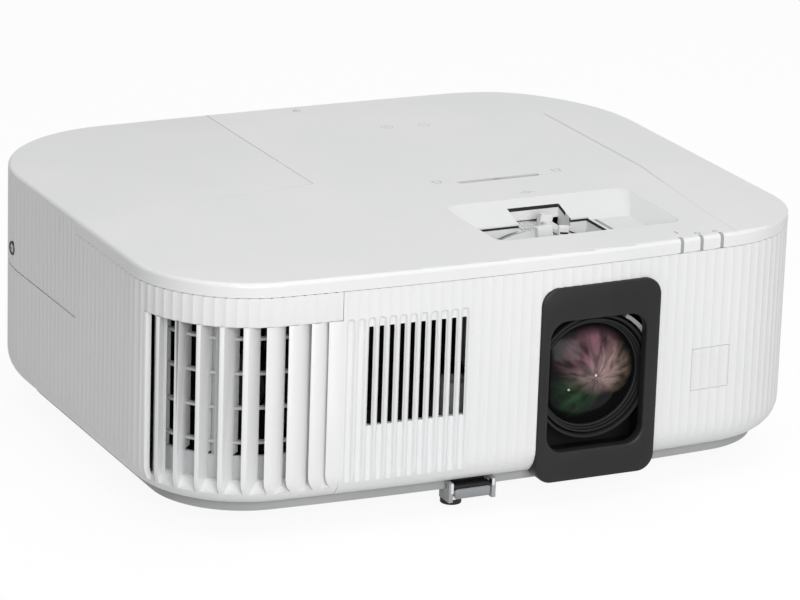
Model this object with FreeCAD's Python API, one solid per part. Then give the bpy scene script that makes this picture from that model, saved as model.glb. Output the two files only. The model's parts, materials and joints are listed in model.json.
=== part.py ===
import FreeCAD
import Part
import math
import os

# Home projector, lamp type, with a three-panel light engine.
# Frame: origin under the middle of the case at the level of the feet,
# X across the front (to the right seen from the front), Y to the rear, Z up. Millimetres.

V = FreeCAD.Vector
os.makedirs("parts", exist_ok=True)

# ---- overall sizes ----
case_width = 333.0
case_depth = 275.0
case_height = 122.0
front_corner_r = 55.5
rear_corner_r = 72.5
front_bow = 8.1
rear_bow = 3.9
bezel_proud = 1.0
wall = 2.5
gap = 0.3
running = 0.05
tray_clearance = 10.5
tray_height = 4.5
rim_height = 6.7
under_round = 14.0
lens_x = 42.5
lens_below_top = 62.5

half_w = case_width / 2
front_y = -(case_depth + bezel_proud) / 2 + bezel_proud
rear_y = (case_depth + bezel_proud) / 2
top_z = case_height
seam_z = top_z - rim_height
wall_z = tray_clearance + tray_height
floor_z = tray_clearance + wall
lens_z = top_z - lens_below_top
FAR = 600.0

# ---- control recess and lens ----
recess_x0, recess_x1 = 3.0, 100.0
recess_back = front_y + 87.5
recess_front = front_y + 27.5
recess_depth = 7.0
recess_skin = 1.8
control_z = top_z - recess_depth
sector_r = control_z - recess_skin - 0.6 - lens_z
barrel_r = 28.0
lever_top_r = top_z - 1.0 - lens_z
focus_y0, focus_y1 = front_y + 34.0, front_y + 66.0
zoom_y0, zoom_y1 = front_y + 69.0, front_y + 84.0
focus_rest_deg = -6.0
zoom_rest_deg = 7.0
engine_y0 = front_y + 113.0
engine_depth = 82.0
engine_x0, engine_x1 = -40.0, 105.0
engine_half_h = 23.5

# ---- lamp, cover and rear ----
lamp_seam_x = -half_w + 128.3
lamp_seam_y = rear_y - 132.5
lamp_seam_y_side = rear_y - 150.3
lamp_side_z = top_z - 48.0
exhaust_seam_x = -half_w + 79.9
exhaust_seam_y = front_y + 45.6
rear_split_x = half_w - 71.5
right_split_y = front_y + 77.0
flute_pitch = 5.1


def box(x0, x1, y0, y1, z0, z1):
    return Part.makeBox(x1 - x0, y1 - y0, z1 - z0, V(x0, y0, z0))


def mid_box(x, half_x, y0, y1, z0, z1):
    """Box whose X faces lie evenly about x."""
    return box(x - half_x, x + half_x, y0, y1, z0, z1)


def room_in(x0, x1, y0, y1, z0, z_in, t):
    """The room inside a box with walls and a floor t thick, up to z_in."""
    return box(x0 + t, x1 - t, y0 + t, y1 - t, z0 + t, z_in)


def cyl(x, y, z, r, h, axis=V(0, 0, 1)):
    return Part.makeCylinder(r, h, V(x, y, z), axis)


def tube(x, y, z, r_out, r_in, h, axis=V(0, 0, 1)):
    return cyl(x, y, z, r_out, h, axis).cut(cyl(x, y, z, r_in, h, axis))


def join(shapes):
    body = shapes[0]
    if len(shapes) > 1:
        body = body.fuse(shapes[1:])
    return body.removeSplitter()


def save(name, shape):
    shape.exportStep("parts/" + name + ".step")


def group(solids):
    return Part.makeCompound(solids)


def outline(inset, z):
    """Plan outline of the case: bowed front and rear, straight sides, round corners."""
    rf = half_w ** 2 / (2 * front_bow) + front_bow / 2
    rb = half_w ** 2 / (2 * rear_bow) + rear_bow / 2
    cf = V(0, front_y + rf, z)
    cb = V(0, rear_y - rb, z)
    xf = half_w - front_corner_r
    xb = half_w - rear_corner_r
    yf = cf.y - math.sqrt((rf - front_corner_r) ** 2 - xf ** 2)
    yb = cb.y + math.sqrt((rb - rear_corner_r) ** 2 - xb ** 2)
    af = math.atan2(yf - cf.y, xf)
    ab = math.atan2(yb - cb.y, xb)

    def at(c, r, a, side):
        return V(side * (c.x + r * math.cos(a)), c.y + r * math.sin(a), z)

    kf = V(xf, yf, z)
    kb = V(xb, yb, z)
    r1 = front_corner_r - inset
    r2 = rear_corner_r - inset
    edges = [
        Part.Arc(at(cf, rf - inset, af, -1), V(0, front_y + inset, z), at(cf, rf - inset, af, 1)),
        Part.Arc(at(kf, r1, af, 1), at(kf, r1, af / 2, 1), at(kf, r1, 0, 1)),
        Part.LineSegment(at(kf, r1, 0, 1), at(kb, r2, 0, 1)),
        Part.Arc(at(kb, r2, 0, 1), at(kb, r2, ab / 2, 1), at(kb, r2, ab, 1)),
        Part.Arc(at(cb, rb - inset, ab, 1), V(0, rear_y - inset, z), at(cb, rb - inset, ab, -1)),
        Part.Arc(at(kb, r2, ab, -1), at(kb, r2, ab / 2, -1), at(kb, r2, 0, -1)),
        Part.LineSegment(at(kb, r2, 0, -1), at(kf, r1, 0, -1)),
        Part.Arc(at(kf, r1, 0, -1), at(kf, r1, af / 2, -1), at(kf, r1, af, -1)),
    ]
    return Part.Wire([e.toShape() for e in edges])


def prism(inset, z0, z1):
    return Part.Face(outline(inset, z0)).extrude(V(0, 0, z1 - z0))


def ring(inset0, inset1, z0, z1):
    return prism(inset0, z0, z1).cut(prism(inset1, z0 - 1, z1 + 1))


def rounded(shape, r, z):
    edges = [e for e in shape.Edges if abs(e.BoundBox.ZMin - z) < 1e-4 and abs(e.BoundBox.ZMax - z) < 1e-4]
    return shape.makeFillet(r, edges)


def edge_round(shape, r, axis_name):
    """Round the straight edges that run along one axis."""
    picked = []
    for e in shape.Edges:
        d = e.Vertexes[-1].Point - e.Vertexes[0].Point
        if abs(abs(getattr(d, axis_name)) - d.Length) < 1e-6 and d.Length > 1e-6:
            picked.append(e)
    return shape.makeFillet(r, picked)


def plan_rect(x0, x1, y0, y1, z, r):
    base = edge_round(box(x0, x1, y0, y1, z, z + 1), r, "z")
    for f in base.Faces:
        if abs(f.BoundBox.ZMax - z) < 1e-6:
            return f.OuterWire
    return None


def front_of(x):
    """Y of the outer front wall at a given X."""
    rf = half_w ** 2 / (2 * front_bow) + front_bow / 2
    return front_y + rf - math.sqrt(rf ** 2 - x ** 2)


def sector(x, z, r_in, r_out, deg0, deg1, y0, y1):
    """Piece of a ring about an axis along Y, angles from straight up, clockwise from the front."""
    band = tube(x, y0, z, r_out, r_in, y1 - y0, V(0, 1, 0))
    far = r_out * 3
    pts = [V(x, y0 - 1, z)]
    steps = max(2, int(abs(deg1 - deg0) / 30) + 1)
    for i in range(steps + 1):
        a = math.radians(deg0 + (deg1 - deg0) * i / steps)
        pts.append(V(x + far * math.sin(a), y0 - 1, z + far * math.cos(a)))
    wedge = Part.Face(Part.makePolygon(pts + [pts[0]])).extrude(V(0, y1 - y0 + 2, 0))
    return band.common(wedge)


def turned(shape, x, z, deg):
    """Turn about the lens axis; positive takes the top towards +X."""
    out = shape.copy()
    out.rotate(V(x, 0, z), V(0, 1, 0), deg)
    return out


# ---- regions that split the shell ----
def lamp_region(g, z0):
    pts = [
        V(lamp_seam_x - g, lamp_seam_y + g, z0),
        V(lamp_seam_x - g, FAR, z0),
        V(-FAR, FAR, z0),
        V(-FAR, lamp_seam_y_side + g + (lamp_seam_y_side - lamp_seam_y) * 3.37, z0),
    ]
    return Part.Face(Part.makePolygon(pts + [pts[0]])).extrude(V(0, 0, FAR))


# ---- walls ----
outer = rounded(prism(0, wall_z, seam_z), under_round, wall_z)
inner = rounded(prism(wall, wall_z + wall, seam_z + 5), under_round - wall, wall_z + wall)
walls = outer.cut(inner).cut(prism(under_round, wall_z - 1, wall_z + wall + 5))

bezel_x0, bezel_x1 = lens_x - barrel_r - 2.5, lens_x + barrel_r + 3.5
bezel_z0, bezel_z1 = top_z - 110.5, top_z - 16.0
bezel_block = box(bezel_x0, bezel_x1, front_y - bezel_proud, front_y + 12.0, bezel_z0, bezel_z1)
bezel_block = edge_round(bezel_block, 8.5, "y")

front = walls.common(box(exhaust_seam_x, FAR, -FAR, right_split_y, 0, FAR)).cut(bezel_block)
slot_x0 = exhaust_seam_x + 14.2
slot_cuts = []
for i in range(10):
    x = slot_x0 + flute_pitch * i
    slot_cuts.append(box(x - 1.3, x + 1.3, front_y - 5, front_y + 12, top_z - 72.0, top_z - 25.0))
for i in range(-2, 10):
    x = slot_x0 + flute_pitch * i
    y = front_of(x)
    slot_cuts.append(box(x - 1.6, x + 1.6, y - 2, y + 1.2, top_z - 96.5, top_z - 20.3))
window_x0, window_x1 = 94.0, 114.5
window_z0, window_z1 = top_z - 75.2, top_z - 54.9
slot_cuts.append(box(window_x0, window_x1, front_y - 5, front_y + 15, window_z0, window_z1))
guide_x = [84.4, 95.1, 106.2]
save("front_panel", front.cut(slot_cuts))

# receiver window with a lip behind the wall
lip_inset = wall + running
ring_zone = ring(0.0, lip_inset, window_z0 - 2, window_z1 + 2)
pane = ring_zone.common(box(window_x0 + 0.1, window_x1 - 0.1, -FAR, 0, window_z0 + 0.1, window_z1 - 0.1))
lip_zone = ring(lip_inset, lip_inset + 1.2, window_z0 - 2, window_z1 + 2)
lip = lip_zone.common(box(window_x0 - 1.5, window_x1 + 1.5, -FAR, 0, window_z0 - 1.5, window_z1 + 1.5))
save("receiver_window", join([pane, lip]))

# ---- exhaust cover: frame with slanted upright vanes round the corner ----
exhaust_z0, exhaust_z1 = top_z - 100.0, top_z - 20.5
vane_depth = 9.0
vane_len = 10.0
vane_t = 2.0
vane_pitch = 10.8
vane_count = 9
end_bay = 8.3
vane_turn, vane_turn_step = 68.5, 3.5
band = 3.0
corner_zone = box(-FAR, exhaust_seam_x, -FAR, exhaust_seam_y, 0, FAR)
frame_part = walls.common(corner_zone)
open_zone = box(-FAR, exhaust_seam_x - 4.0, -FAR, exhaust_seam_y - 1.5, exhaust_z0, exhaust_z1)
frame_part = frame_part.cut(open_zone)
depth_zone = rounded(prism(0, wall_z, seam_z), under_round, wall_z)
depth_zone = depth_zone.cut(prism(vane_depth, wall_z - 1, seam_z + 1))
bow_r = half_w ** 2 / (2 * front_bow) + front_bow / 2
corner_cx = -half_w + front_corner_r
corner_cy = front_y + bow_r - math.sqrt((bow_r - front_corner_r) ** 2 - corner_cx ** 2)
corner_turn = math.atan2(front_y + bow_r - corner_cy, -corner_cx)


def corner_point(s):
    """Point of the outer wall at arc length s from the front end of the left side."""
    a = s / front_corner_r
    if a < corner_turn:
        return V(corner_cx - front_corner_r * math.cos(a), corner_cy - front_corner_r * math.sin(a), 0)
    a = corner_turn + (s - corner_turn * front_corner_r) / bow_r
    return V(-bow_r * math.cos(a), front_y + bow_r - bow_r * math.sin(a), 0)


last_vane_x = exhaust_seam_x - 4.7
last_vane_s = corner_turn * front_corner_r + bow_r * (math.acos(-last_vane_x / bow_r) - corner_turn)
vanes = []
for i in range(vane_count):
    s = last_vane_s - (end_bay + vane_pitch * (i - 1) if i else 0.0)
    turn = min(65.0, vane_turn - vane_turn_step * (i - 1))
    blade = box(-4.0, vane_len, -vane_t / 2, vane_t / 2, exhaust_z0 - band, exhaust_z1 + band)
    blade.rotate(V(0, 0, 0), V(0, 0, 1), 90.0 - turn)
    blade.translate(corner_point(s))
    vanes.append(blade.common(depth_zone).common(corner_zone))
side_lip = depth_zone.common(box(-FAR, -half_w + 3.5, exhaust_seam_y - 1.5, exhaust_seam_y, 0, exhaust_z1))
top_band = ring(wall, vane_depth, exhaust_z1, exhaust_z1 + band).common(corner_zone)
sill_rise = 5.0
sill = Part.makeLoft([outline(2.0, exhaust_z0), outline(2.0 + sill_rise, exhaust_z0 + sill_rise)], True)
sill = sill.cut(prism(vane_depth, exhaust_z0 - 1, exhaust_z0 + sill_rise + 1)).common(corner_zone)
sill_base = ring(wall + 1.7, vane_depth, exhaust_z0 - 2.5, exhaust_z0 + 0.1).common(corner_zone)
blind_x = last_vane_x - 13.0
blind = ring(vane_depth - 2.0, vane_depth, exhaust_z0, exhaust_z1 + band).common(corner_zone)
blind = blind.common(box(blind_x, FAR, -FAR, FAR, 0, FAR))
save("exhaust_cover", join([frame_part, side_lip, top_band, sill, sill_base, blind] + vanes))

# horizontal bars held against the backs of the vanes, on uprights with a low skirt
grille_front = vane_depth + running
grille_back = vane_depth + 3.0
bar_pitch = 16.3
inner_corner = box(-FAR, exhaust_seam_x + 2.0, -FAR, exhaust_seam_y + 2.0, 0, FAR)
bars = []
for i in range(4):
    z = exhaust_z0 + 21.5 + bar_pitch * i
    bars.append(ring(grille_front, grille_back, z, z + 1.4).common(inner_corner))
upright = ring(grille_front, grille_back, wall_z + 6.0, exhaust_z1 + band)
bars.append(upright.common(box(exhaust_seam_x - 1.0, exhaust_seam_x + 2.0, -FAR, 0, 0, FAR)))
bars.append(upright.common(box(-FAR, -half_w + 30.0, exhaust_seam_y - 1.0, exhaust_seam_y + 2.0, 0, FAR)))
bars.append(upright.common(box(-half_w + 27.0, -half_w + 30.0, -FAR, exhaust_seam_y - 4.0, 0, FAR)))
skirt = ring(grille_front, grille_back - 1.0, wall_z + 6.0, exhaust_z0 + 16.0).common(inner_corner)
save("exhaust_inner_grille", join(bars + [skirt]))

# ---- side and rear panels ----
lamp_cut = lamp_region(0, lamp_side_z)
left = walls.common(box(-FAR, -rear_split_x, exhaust_seam_y, FAR, 0, FAR)).cut(lamp_cut)
screw_y = rear_y - 65.8
screw_z = top_z - 38.2
tab_x = -half_w + wall + 2.6
tab_z = lamp_side_z - 12
tab = box(tab_x, tab_x + 3.0, screw_y - 7, screw_y + 7, tab_z, screw_z + 8)
foot_of_tab = box(-half_w + wall - 0.5, tab_x + 3.0, screw_y - 7, screw_y + 7, tab_z, lamp_side_z - 1)
tab = join([tab, foot_of_tab.cut(ring(-1, wall, 0, FAR))])
tab = tab.cut(cyl(-half_w, screw_y, screw_z, 1.5 + running, 20, V(1, 0, 0)))
save("left_side_panel", join([left, tab]))

filter_y0, filter_y1 = front_y + 117.0, front_y + 197.0
filter_z0, filter_z1 = tray_clearance + 22.0, tray_clearance + 82.0
right = walls.common(box(rear_split_x, FAR, right_split_y, FAR, 0, FAR))
door_x = half_w - 10
right = right.cut(box(door_x, FAR, filter_y0, filter_y1, filter_z0, filter_z1))
save("right_side_panel", right)

door_zone = box(door_x, FAR, filter_y0 + gap, filter_y1 - gap, filter_z0 + gap, filter_z1 - gap)
door = walls.common(door_zone)
louvres = []
for i in range(9):
    z = filter_z0 + 7.0 + 5.5 * i
    louvres.append(box(door_x, FAR, filter_y0 + 9, filter_y1 - 9, z, z + 2.4))
save("air_filter_cover", door.cut(louvres))

filter_x1 = half_w - wall
filter_frame = box(filter_x1 - 9, filter_x1, filter_y0 + 4, filter_y1 - 4, filter_z0 + 3, filter_z1 - 3)
mouth = box(filter_x1 - 10, filter_x1 + 1, filter_y0 + 7, filter_y1 - 7, filter_z0 + 6, filter_z1 - 6)
filter_frame = filter_frame.cut(mouth)
pleats = []
for i in range(22):
    y = filter_y0 + 7.6 + 3.1 * i
    pleats.append(box(filter_x1 - 8, filter_x1 - 1.5, y, y + 0.8, filter_z0 + 5, filter_z1 - 5))
mat = box(filter_x1 - 2.3, filter_x1 - 1.5, filter_y0 + 5, filter_y1 - 5, filter_z0 + 5, filter_z1 - 5)
save("air_filter", join([filter_frame, mat] + pleats))

# ---- rear panel, ports and buttons ----
port_z = tray_clearance + 17.1
ports_y1 = rear_y - 1.8
port_x = [60.0, 36.0]
data_x = 14.0
jack_x = -6.0
inlet_x = 74.0
inlet_z0, inlet_z1 = tray_clearance + 36.0, tray_clearance + 58.0
button_x = [8.5, 21.5, 34.5]
button_z = top_z - 20.0
button_r = 4.5
rear = walls.common(box(-rear_split_x, rear_split_x, 0, FAR, 0, FAR)).cut(lamp_cut)
AX = V(1, 0, 0)
AY = V(0, 1, 0)
row_x0, row_x1 = button_x[0], button_x[-1]
switch_y = rear_y - 11.9
pocket_back = box(row_x0 - 9, row_x1 + 9, rear_y - 5.0, rear_y - 1.0, button_z - 9, button_z + 9)
pocket = box(row_x0 - 7, row_x1 + 7, rear_y - 2.6, rear_y + 3, button_z - 7, button_z + 7)
pocket = edge_round(pocket, 6.0, "y")
board_stands = []
for x in (row_x0 - 9.5, row_x1 + 9.5):
    board_stands.append(cyl(x, switch_y, button_z + 10.5, 2.2, rear_y - 1.0 - switch_y, AY))
rear = join([rear, pocket_back] + board_stands).cut(pocket)
rear_cuts = []
cut_y0, cut_y1 = rear_y - 8, rear_y + 3
for x in port_x:
    rear_cuts.append(mid_box(x, 7.8, cut_y0, cut_y1, port_z - 0.2, port_z + 6.4))
rear_cuts.append(mid_box(data_x, 6.8, cut_y0, cut_y1, port_z - 0.2, port_z + 7.4))
rear_cuts.append(cyl(jack_x, cut_y0, port_z + 5.0, 4.2, 12, AY))
rear_cuts.append(mid_box(inlet_x, 14.2, cut_y0, cut_y1, inlet_z0 - 0.2, inlet_z1 + 0.2))
for x in button_x:
    rear_cuts.append(cyl(x, cut_y0, button_z, button_r + gap, 12, AY))
speaker_x = -66.0
speaker_z = tray_clearance + 32.0
for i in range(7):
    z = speaker_z - 12.8 + 4.0 * i
    rear_cuts.append(mid_box(speaker_x, 14, cut_y0, cut_y1, z, z + 1.6))
save("rear_panel", rear.cut(rear_cuts))

for name, x in zip(["power", "source", "menu"], button_x):
    cap = cyl(x, rear_y - 6.2, button_z, button_r, 5.6, AY)
    flange = cyl(x, rear_y - 6.4, button_z, button_r + 1.2, 1.2, AY)
    stem = cyl(x, rear_y - 9.0, button_z, 1.4, 4.0, AY)
    save("button_" + name, join([cap, flange, stem]))
switches = [box(row_x0 - 12, row_x1 + 12, switch_y - 1.6, switch_y, button_z - 10, button_z + 15.5)]
for x in button_x:
    switches.append(mid_box(x, 3, switch_y - 0.1, switch_y + 1.9, button_z - 3, button_z + 3))
save("button_board", join(switches))

# ---- tray ----
tray = prism(12.5, tray_clearance, wall_z).cut(prism(15.0, floor_z, wall_z + 1))
upstand = ring(under_round + 0.1, under_round + 2.6, floor_z, wall_z + wall + 1.5)
front_foot_x = -20.0
front_foot_y = front_y + 21.5
foot_r = 5.5
guide_top = tray_clearance + 50.0
rear_foot_pos = [V(-half_w + 48.5, rear_y - 34, 0), V(half_w - 48.5, rear_y - 34, 0)]
mount_x = 90.0
mount_y = 52.0
mount_pos = [V(sx * mount_x, sy * mount_y, 0) for sx in (-1, 1) for sy in (-1, 1)]
post_list = []


def posts(points, z_top, r=4.0):
    for p in points:
        post_list.append(cyl(p[0], p[1], tray_clearance + 1.0, r, z_top - tray_clearance - 1.0))


engine_z0 = lens_z - engine_half_h
engine_y1 = engine_y0 + engine_depth
posts([(engine_x0 + 8, engine_y0 + 8), (engine_x1 - 8, engine_y0 + 8)], engine_z0)
posts([(engine_x0 + 8, engine_y1 - 8), (engine_x1 - 8, engine_y1 - 8)], engine_z0)
board_z = tray_clearance + 15.5
board_t = 1.6
main_x0, main_x1 = -30.0, 104.0
main_y0, main_y1 = rear_y - 70.0, rear_y - wall - 1.7
posts([(main_x0 + 5, main_y0 + 5), (main_x1 - 5, main_y0 + 5)], board_z, 3.0)
posts([(main_x0 + 5, main_y1 - 20), (main_x1 - 5, main_y1 - 20)], board_z, 3.0)
power_x0, power_x1 = half_w - 57.0, half_w - 17.0
power_y0, power_y1 = front_y + 82.0, front_y + 197.0
posts([(power_x0 + 5, power_y0 + 5), (power_x1 - 5, power_y0 + 5)], board_z, 3.0)
posts([(power_x0 + 5, power_y1 - 5), (power_x1 - 5, power_y1 - 5)], board_z, 3.0)
ballast_x0, ballast_x1 = half_w - 78.0, half_w - 24.0
ballast_y0, ballast_y1 = front_y + 31.0, front_y + 76.0
posts([(ballast_x0 + 5, ballast_y0 + 5), (ballast_x1 - 5, ballast_y0 + 10)], board_z, 3.0)
posts([(ballast_x0 + 5, ballast_y1 - 5), (ballast_x1 - 5, ballast_y1 - 5)], board_z, 3.0)
lamp_x0, lamp_x1 = -half_w + 36.0, -half_w + 120.0
light_y = engine_y0 + 64.0
lamp_y0, lamp_y1 = light_y - 30.0, light_y + 44.0
lamp_z0 = tray_clearance + 9.5
lamp_z1 = lamp_z0 + 78.0
posts([(lamp_x0 + 6, lamp_y0 + 6), (lamp_x1 - 6, lamp_y0 + 6)], lamp_z0)
posts([(lamp_x0 + 6, lamp_y1 - 6), (lamp_x1 - 6, lamp_y1 - 6)], lamp_z0)
fan_size = 76.0
fan_t = 20.0
fan_x, fan_y = -half_w + 54.5, front_y + 57.0
fan_z = tray_clearance + 11.5 + fan_size / 2
fan_dir = V(-0.7071067811865476, -0.7071067811865476, 0)
fan_side = V(0.7071067811865476, -0.7071067811865476, 0)
for k in (-30.0, 30.0):
    p = V(fan_x, fan_y, 0) + fan_side * k
    posts([(p.x, p.y)], fan_z - fan_size / 2, 5.0)
blower_x, blower_y = -half_w + 112.0, front_y + 62.0
blower_r = 27.0
blower_z0 = tray_clearance + 11.5
blower_h = 24.0
for k in range(3):
    a = math.radians(90 + 120 * k)
    posts([(blower_x + 20 * math.cos(a), blower_y + 20 * math.sin(a))], blower_z0)
speaker_y1 = rear_y - 3.4
posts([(speaker_x, speaker_y1 - 20)], speaker_z - 20.0, 5.0)
foot_guide = cyl(front_foot_x, front_foot_y, tray_clearance, foot_r + 1.8, guide_top - tray_clearance)
rear_guides = [cyl(p.x, p.y, tray_clearance, 7.5, 12.0) for p in rear_foot_pos]
mount_bosses = [cyl(p.x, p.y, tray_clearance, 6.5, 9.0) for p in mount_pos]
lever_x0, lever_x1 = front_foot_x - 8.0, front_foot_x + 16.0
lever_y = front_y + 9.0
lever_z = tray_clearance + 1.6
screw_pos = []
for sx in (-1, 1):
    for y in (front_y + 62.0, 5.0, rear_y - 66.0):
        screw_pos.append(V(sx * (half_w - 24.0), y, 0))
screw_bosses = [cyl(p.x, p.y, tray_clearance, 5.0, 9.0) for p in screw_pos]
lever_lugs = []
for x in (lever_x0, lever_x1 - 2.0):
    lever_lugs.append(box(x, x + 2.0, lever_y - 1.5, lever_y + 5.0, 5.2, wall_z - 0.3))
bosses = rear_guides + mount_bosses + screw_bosses + post_list
tray_body = tray.fuse([upstand, foot_guide] + bosses + lever_lugs)
axle_y = lever_y + 2.4
axle_z = lever_z + 0.4
tray_cuts = [cyl(front_foot_x, front_foot_y, 0, foot_r + running, guide_top + 1)]
tray_cuts.append(box(lever_x0 + 2.0, lever_x1 - 2.0, -FAR, front_foot_y - 2.0, 0, tray_clearance + 4.2))
tray_cuts.append(cyl(lever_x0 - 1, axle_y, axle_z, 1.2 + running, lever_x1 - lever_x0 + 2, V(1, 0, 0)))
for p in rear_foot_pos:
    tray_cuts.append(cyl(p.x, p.y, 0, 3.0 + running, tray_clearance + 10.0))
    tray_cuts.append(cyl(p.x, p.y, 0, 9.0 + gap, tray_clearance + 0.9))
for p in mount_pos:
    tray_cuts.append(cyl(p.x, p.y, 0, 3.5, tray_clearance + 8.0))
for p in screw_pos:
    tray_cuts.append(cyl(p.x, p.y, 0, 1.5, tray_clearance + 8.0))
    tray_cuts.append(cyl(p.x, p.y, 0, 3.4, tray_clearance + 1.6))
save("base_tray", tray_body.cut(tray_cuts).removeSplitter())

# ---- top cover and lamp cover ----
lid = rounded(prism(0, seam_z, top_z), 2.0, top_z)
deep_x = half_w - 48.5
lid = lid.cut(prism(wall, seam_z - 1, top_z - wall).common(box(-FAR, deep_x, -FAR, FAR, 0, FAR)))
lid = lid.cut(prism(wall, seam_z - 1, top_z - 5.0).common(box(deep_x - 1.0, FAR, -FAR, FAR, 0, FAR)))
slope_x0, slope_x1 = half_w - 44.5, half_w + 5.0
slope_pts = [
    V(slope_x0, -FAR, top_z),
    V(slope_x1, -FAR, top_z - 2.6),
    V(slope_x1, -FAR, top_z + 5),
    V(slope_x0, -FAR, top_z + 5),
]
lid = lid.cut(Part.Face(Part.makePolygon(slope_pts + [slope_pts[0]])).extrude(V(0, 2 * FAR, 0)))
tub_x0, tub_x1 = recess_x0 - 2, recess_x1 + 2
tub_z1 = top_z - wall + 0.5
tub = box(tub_x0, tub_x1, recess_front - 2, recess_back + 2, control_z - recess_skin, tub_z1)
recess_top = plan_rect(recess_x0, recess_x1, recess_front, recess_back, top_z + 0.01, 7.0)
recess_floor = plan_rect(recess_x0 + 6, recess_x1 - 9, recess_front + 5, recess_back - 22, control_z, 3.0)
recess = Part.makeLoft([recess_top, recess_floor], True)
cut_y0, cut_y1, cut_y2 = recess_front + 6.0, focus_y1 + 2.0, zoom_y1 - 3.5
front_cut = box(lens_x - 32.5, lens_x + 28.0, cut_y0, cut_y1, 0, top_z)
rear_cut = box(lens_x - 8.5, lens_x + 19.0, focus_y1 + 1.0, cut_y2, 0, top_z)
# skirts hang from the edges of the cut-outs and stop just over the curved shields
skirt_z0, skirt_z1 = control_z - 14.0, control_z - recess_skin + 0.6
skirts = join([
    box(lens_x - 34.0, lens_x - 32.5, cut_y0, cut_y1 + 1.5, skirt_z0, skirt_z1),
    box(lens_x + 28.0, lens_x + 29.5, cut_y0, cut_y1 + 1.5, skirt_z0, skirt_z1),
    box(lens_x - 33.0, lens_x - 8.5, cut_y1, cut_y1 + 1.5, skirt_z0, skirt_z1),
    box(lens_x + 19.0, lens_x + 29.0, cut_y1, cut_y1 + 1.5, skirt_z0, skirt_z1),
    box(lens_x + 19.0, lens_x + 20.5, cut_y1, cut_y2, skirt_z0, skirt_z1),
]).cut(cyl(lens_x, cut_y0 - 1.0, lens_z, sector_r + 0.5, cut_y2 - cut_y0 + 2.0, AY))
slot_x = 50.0
slot_y = front_y + 121.4
slot = edge_round(box(slot_x - 22, slot_x + 22, slot_y - 1.9, slot_y + 1.9, 0, FAR), 1.8, "z")
guide_cuts = []
for x in guide_x:
    guide_cuts.append(box(x - 1.75, x + 1.75, -FAR, front_y + 6.5, seam_z - 0.5, FAR))
lamp_zone = lamp_region(0, seam_z - 1)
top = join([lid, tub]).cut(recess).cut([front_cut, rear_cut, slot] + guide_cuts).cut(lamp_zone)
slider_board_z = top_z - 9.6
stand = []
for x in (slot_x - 27.5, slot_x + 27.5):
    stand.append(cyl(x, slot_y, slider_board_z, 2.5, top_z - wall + 0.5 - slider_board_z))
for x in (guide_x[0] - 1.0, guide_x[2] + 1.0):
    stand.append(cyl(x, front_y + 16.0, top_z - 9.0, 2.0, 9.0 - wall + 0.5))
save("top_cover", join([top, skirts] + stand))

cover_top = rounded(prism(0, seam_z, top_z), 2.0, top_z).cut(prism(wall, seam_z - 1, top_z - wall))
cover_zone = lamp_region(gap, lamp_side_z + gap)
cover = join([cover_top.common(cover_zone), walls.common(cover_zone)])
screw_hole = cyl(-half_w - 5, screw_y, screw_z, 1.5 + gap, 20, V(1, 0, 0))
screw_seat = cyl(-half_w - 5, screw_y, screw_z, 3.2, 6.2, V(1, 0, 0))
save("lamp_cover", cover.cut([screw_hole, screw_seat]))
head = cyl(-half_w + 0.2, screw_y, screw_z, 2.9, 1.0, V(1, 0, 0))
shank = cyl(-half_w + 1.0, screw_y, screw_z, 1.5, 7.5, V(1, 0, 0))
drive = join([
    box(-half_w - 1, -half_w + 0.8, screw_y - 1.9, screw_y + 1.9, screw_z - 0.35, screw_z + 0.35),
    box(-half_w - 1, -half_w + 0.8, screw_y - 0.35, screw_y + 0.35, screw_z - 1.9, screw_z + 1.9),
])
save("lamp_cover_screw", join([head, shank]).cut(drive))

# three light guides of one moulding, bent over the front edge of the top
guides = []
for x in guide_x:
    bar = box(x - 1.55, x + 1.55, front_of(x) + 0.5, front_y + 6.5, seam_z + 0.3, top_z - 0.4)
    guides.append(bar)
guides.append(box(guide_x[0] - 4, guide_x[2] + 4, front_y + 6.5, front_y + 8.5, top_z - 8.6, top_z - wall))
save("indicator_light_guide", join(guides).common(prism(0.4, 0, FAR)))
led_board = box(guide_x[0] - 5, guide_x[2] + 5, front_y + 7.0, front_y + 20.0, top_z - 10.2, top_z - 9.0)
leds = [led_board]
for x in guide_x:
    leds.append(box(x - 1.0, x + 1.0, front_y + 9.2, front_y + 11.2, top_z - 9.0, top_z - 7.6))
save("indicator_board", join(leds))

# ---- lens bezel ----
ap_x0, ap_x1 = lens_x - 25.5, lens_x + 25.0
ap_z0, ap_z1 = top_z - 96.5, top_z - 32.0
aperture = edge_round(box(ap_x0, ap_x1, front_y - 5, front_y + 20, ap_z0, ap_z1), 10.0, "y")
rim = 2.2
hollow = box(bezel_x0 + rim, bezel_x1 - rim, front_y + rim, front_y + 20, bezel_z0 + 5.5, bezel_z1 - rim)
hollow = edge_round(hollow, 6.5, "y")
under_tray = prism(12.5, 0, wall_z + 1)
save("lens_bezel", bezel_block.cut([aperture, hollow, under_tray]))

# ---- projection lens ----
barrel_y0 = front_y + 42.0
lens_front = front_y + 4.6
barrel = tube(lens_x, barrel_y0, lens_z, barrel_r, barrel_r - 2.0, engine_y0 - barrel_y0, AY)
flange = tube(lens_x, engine_y0 - 4.0, lens_z, barrel_r + 5.0, barrel_r - 2.0, 4.0, AY)
rear_cell = tube(lens_x, engine_y0 - 8.0, lens_z, barrel_r - 1.9, 15.0, 8.0, AY)
stops = []
for y in (focus_y0 + 10.0, zoom_y0 - 0.7, zoom_y1 - 4.3):
    stops.append(tube(lens_x, y - 0.3, lens_z, barrel_r + 1.6, barrel_r - 0.5, 1.6, AY))
save("lens_barrel", join([barrel, flange, rear_cell] + stops))
save("rear_lens", cyl(lens_x, engine_y0 - 7.0, lens_z, 15.0, 5.0, AY))

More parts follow.
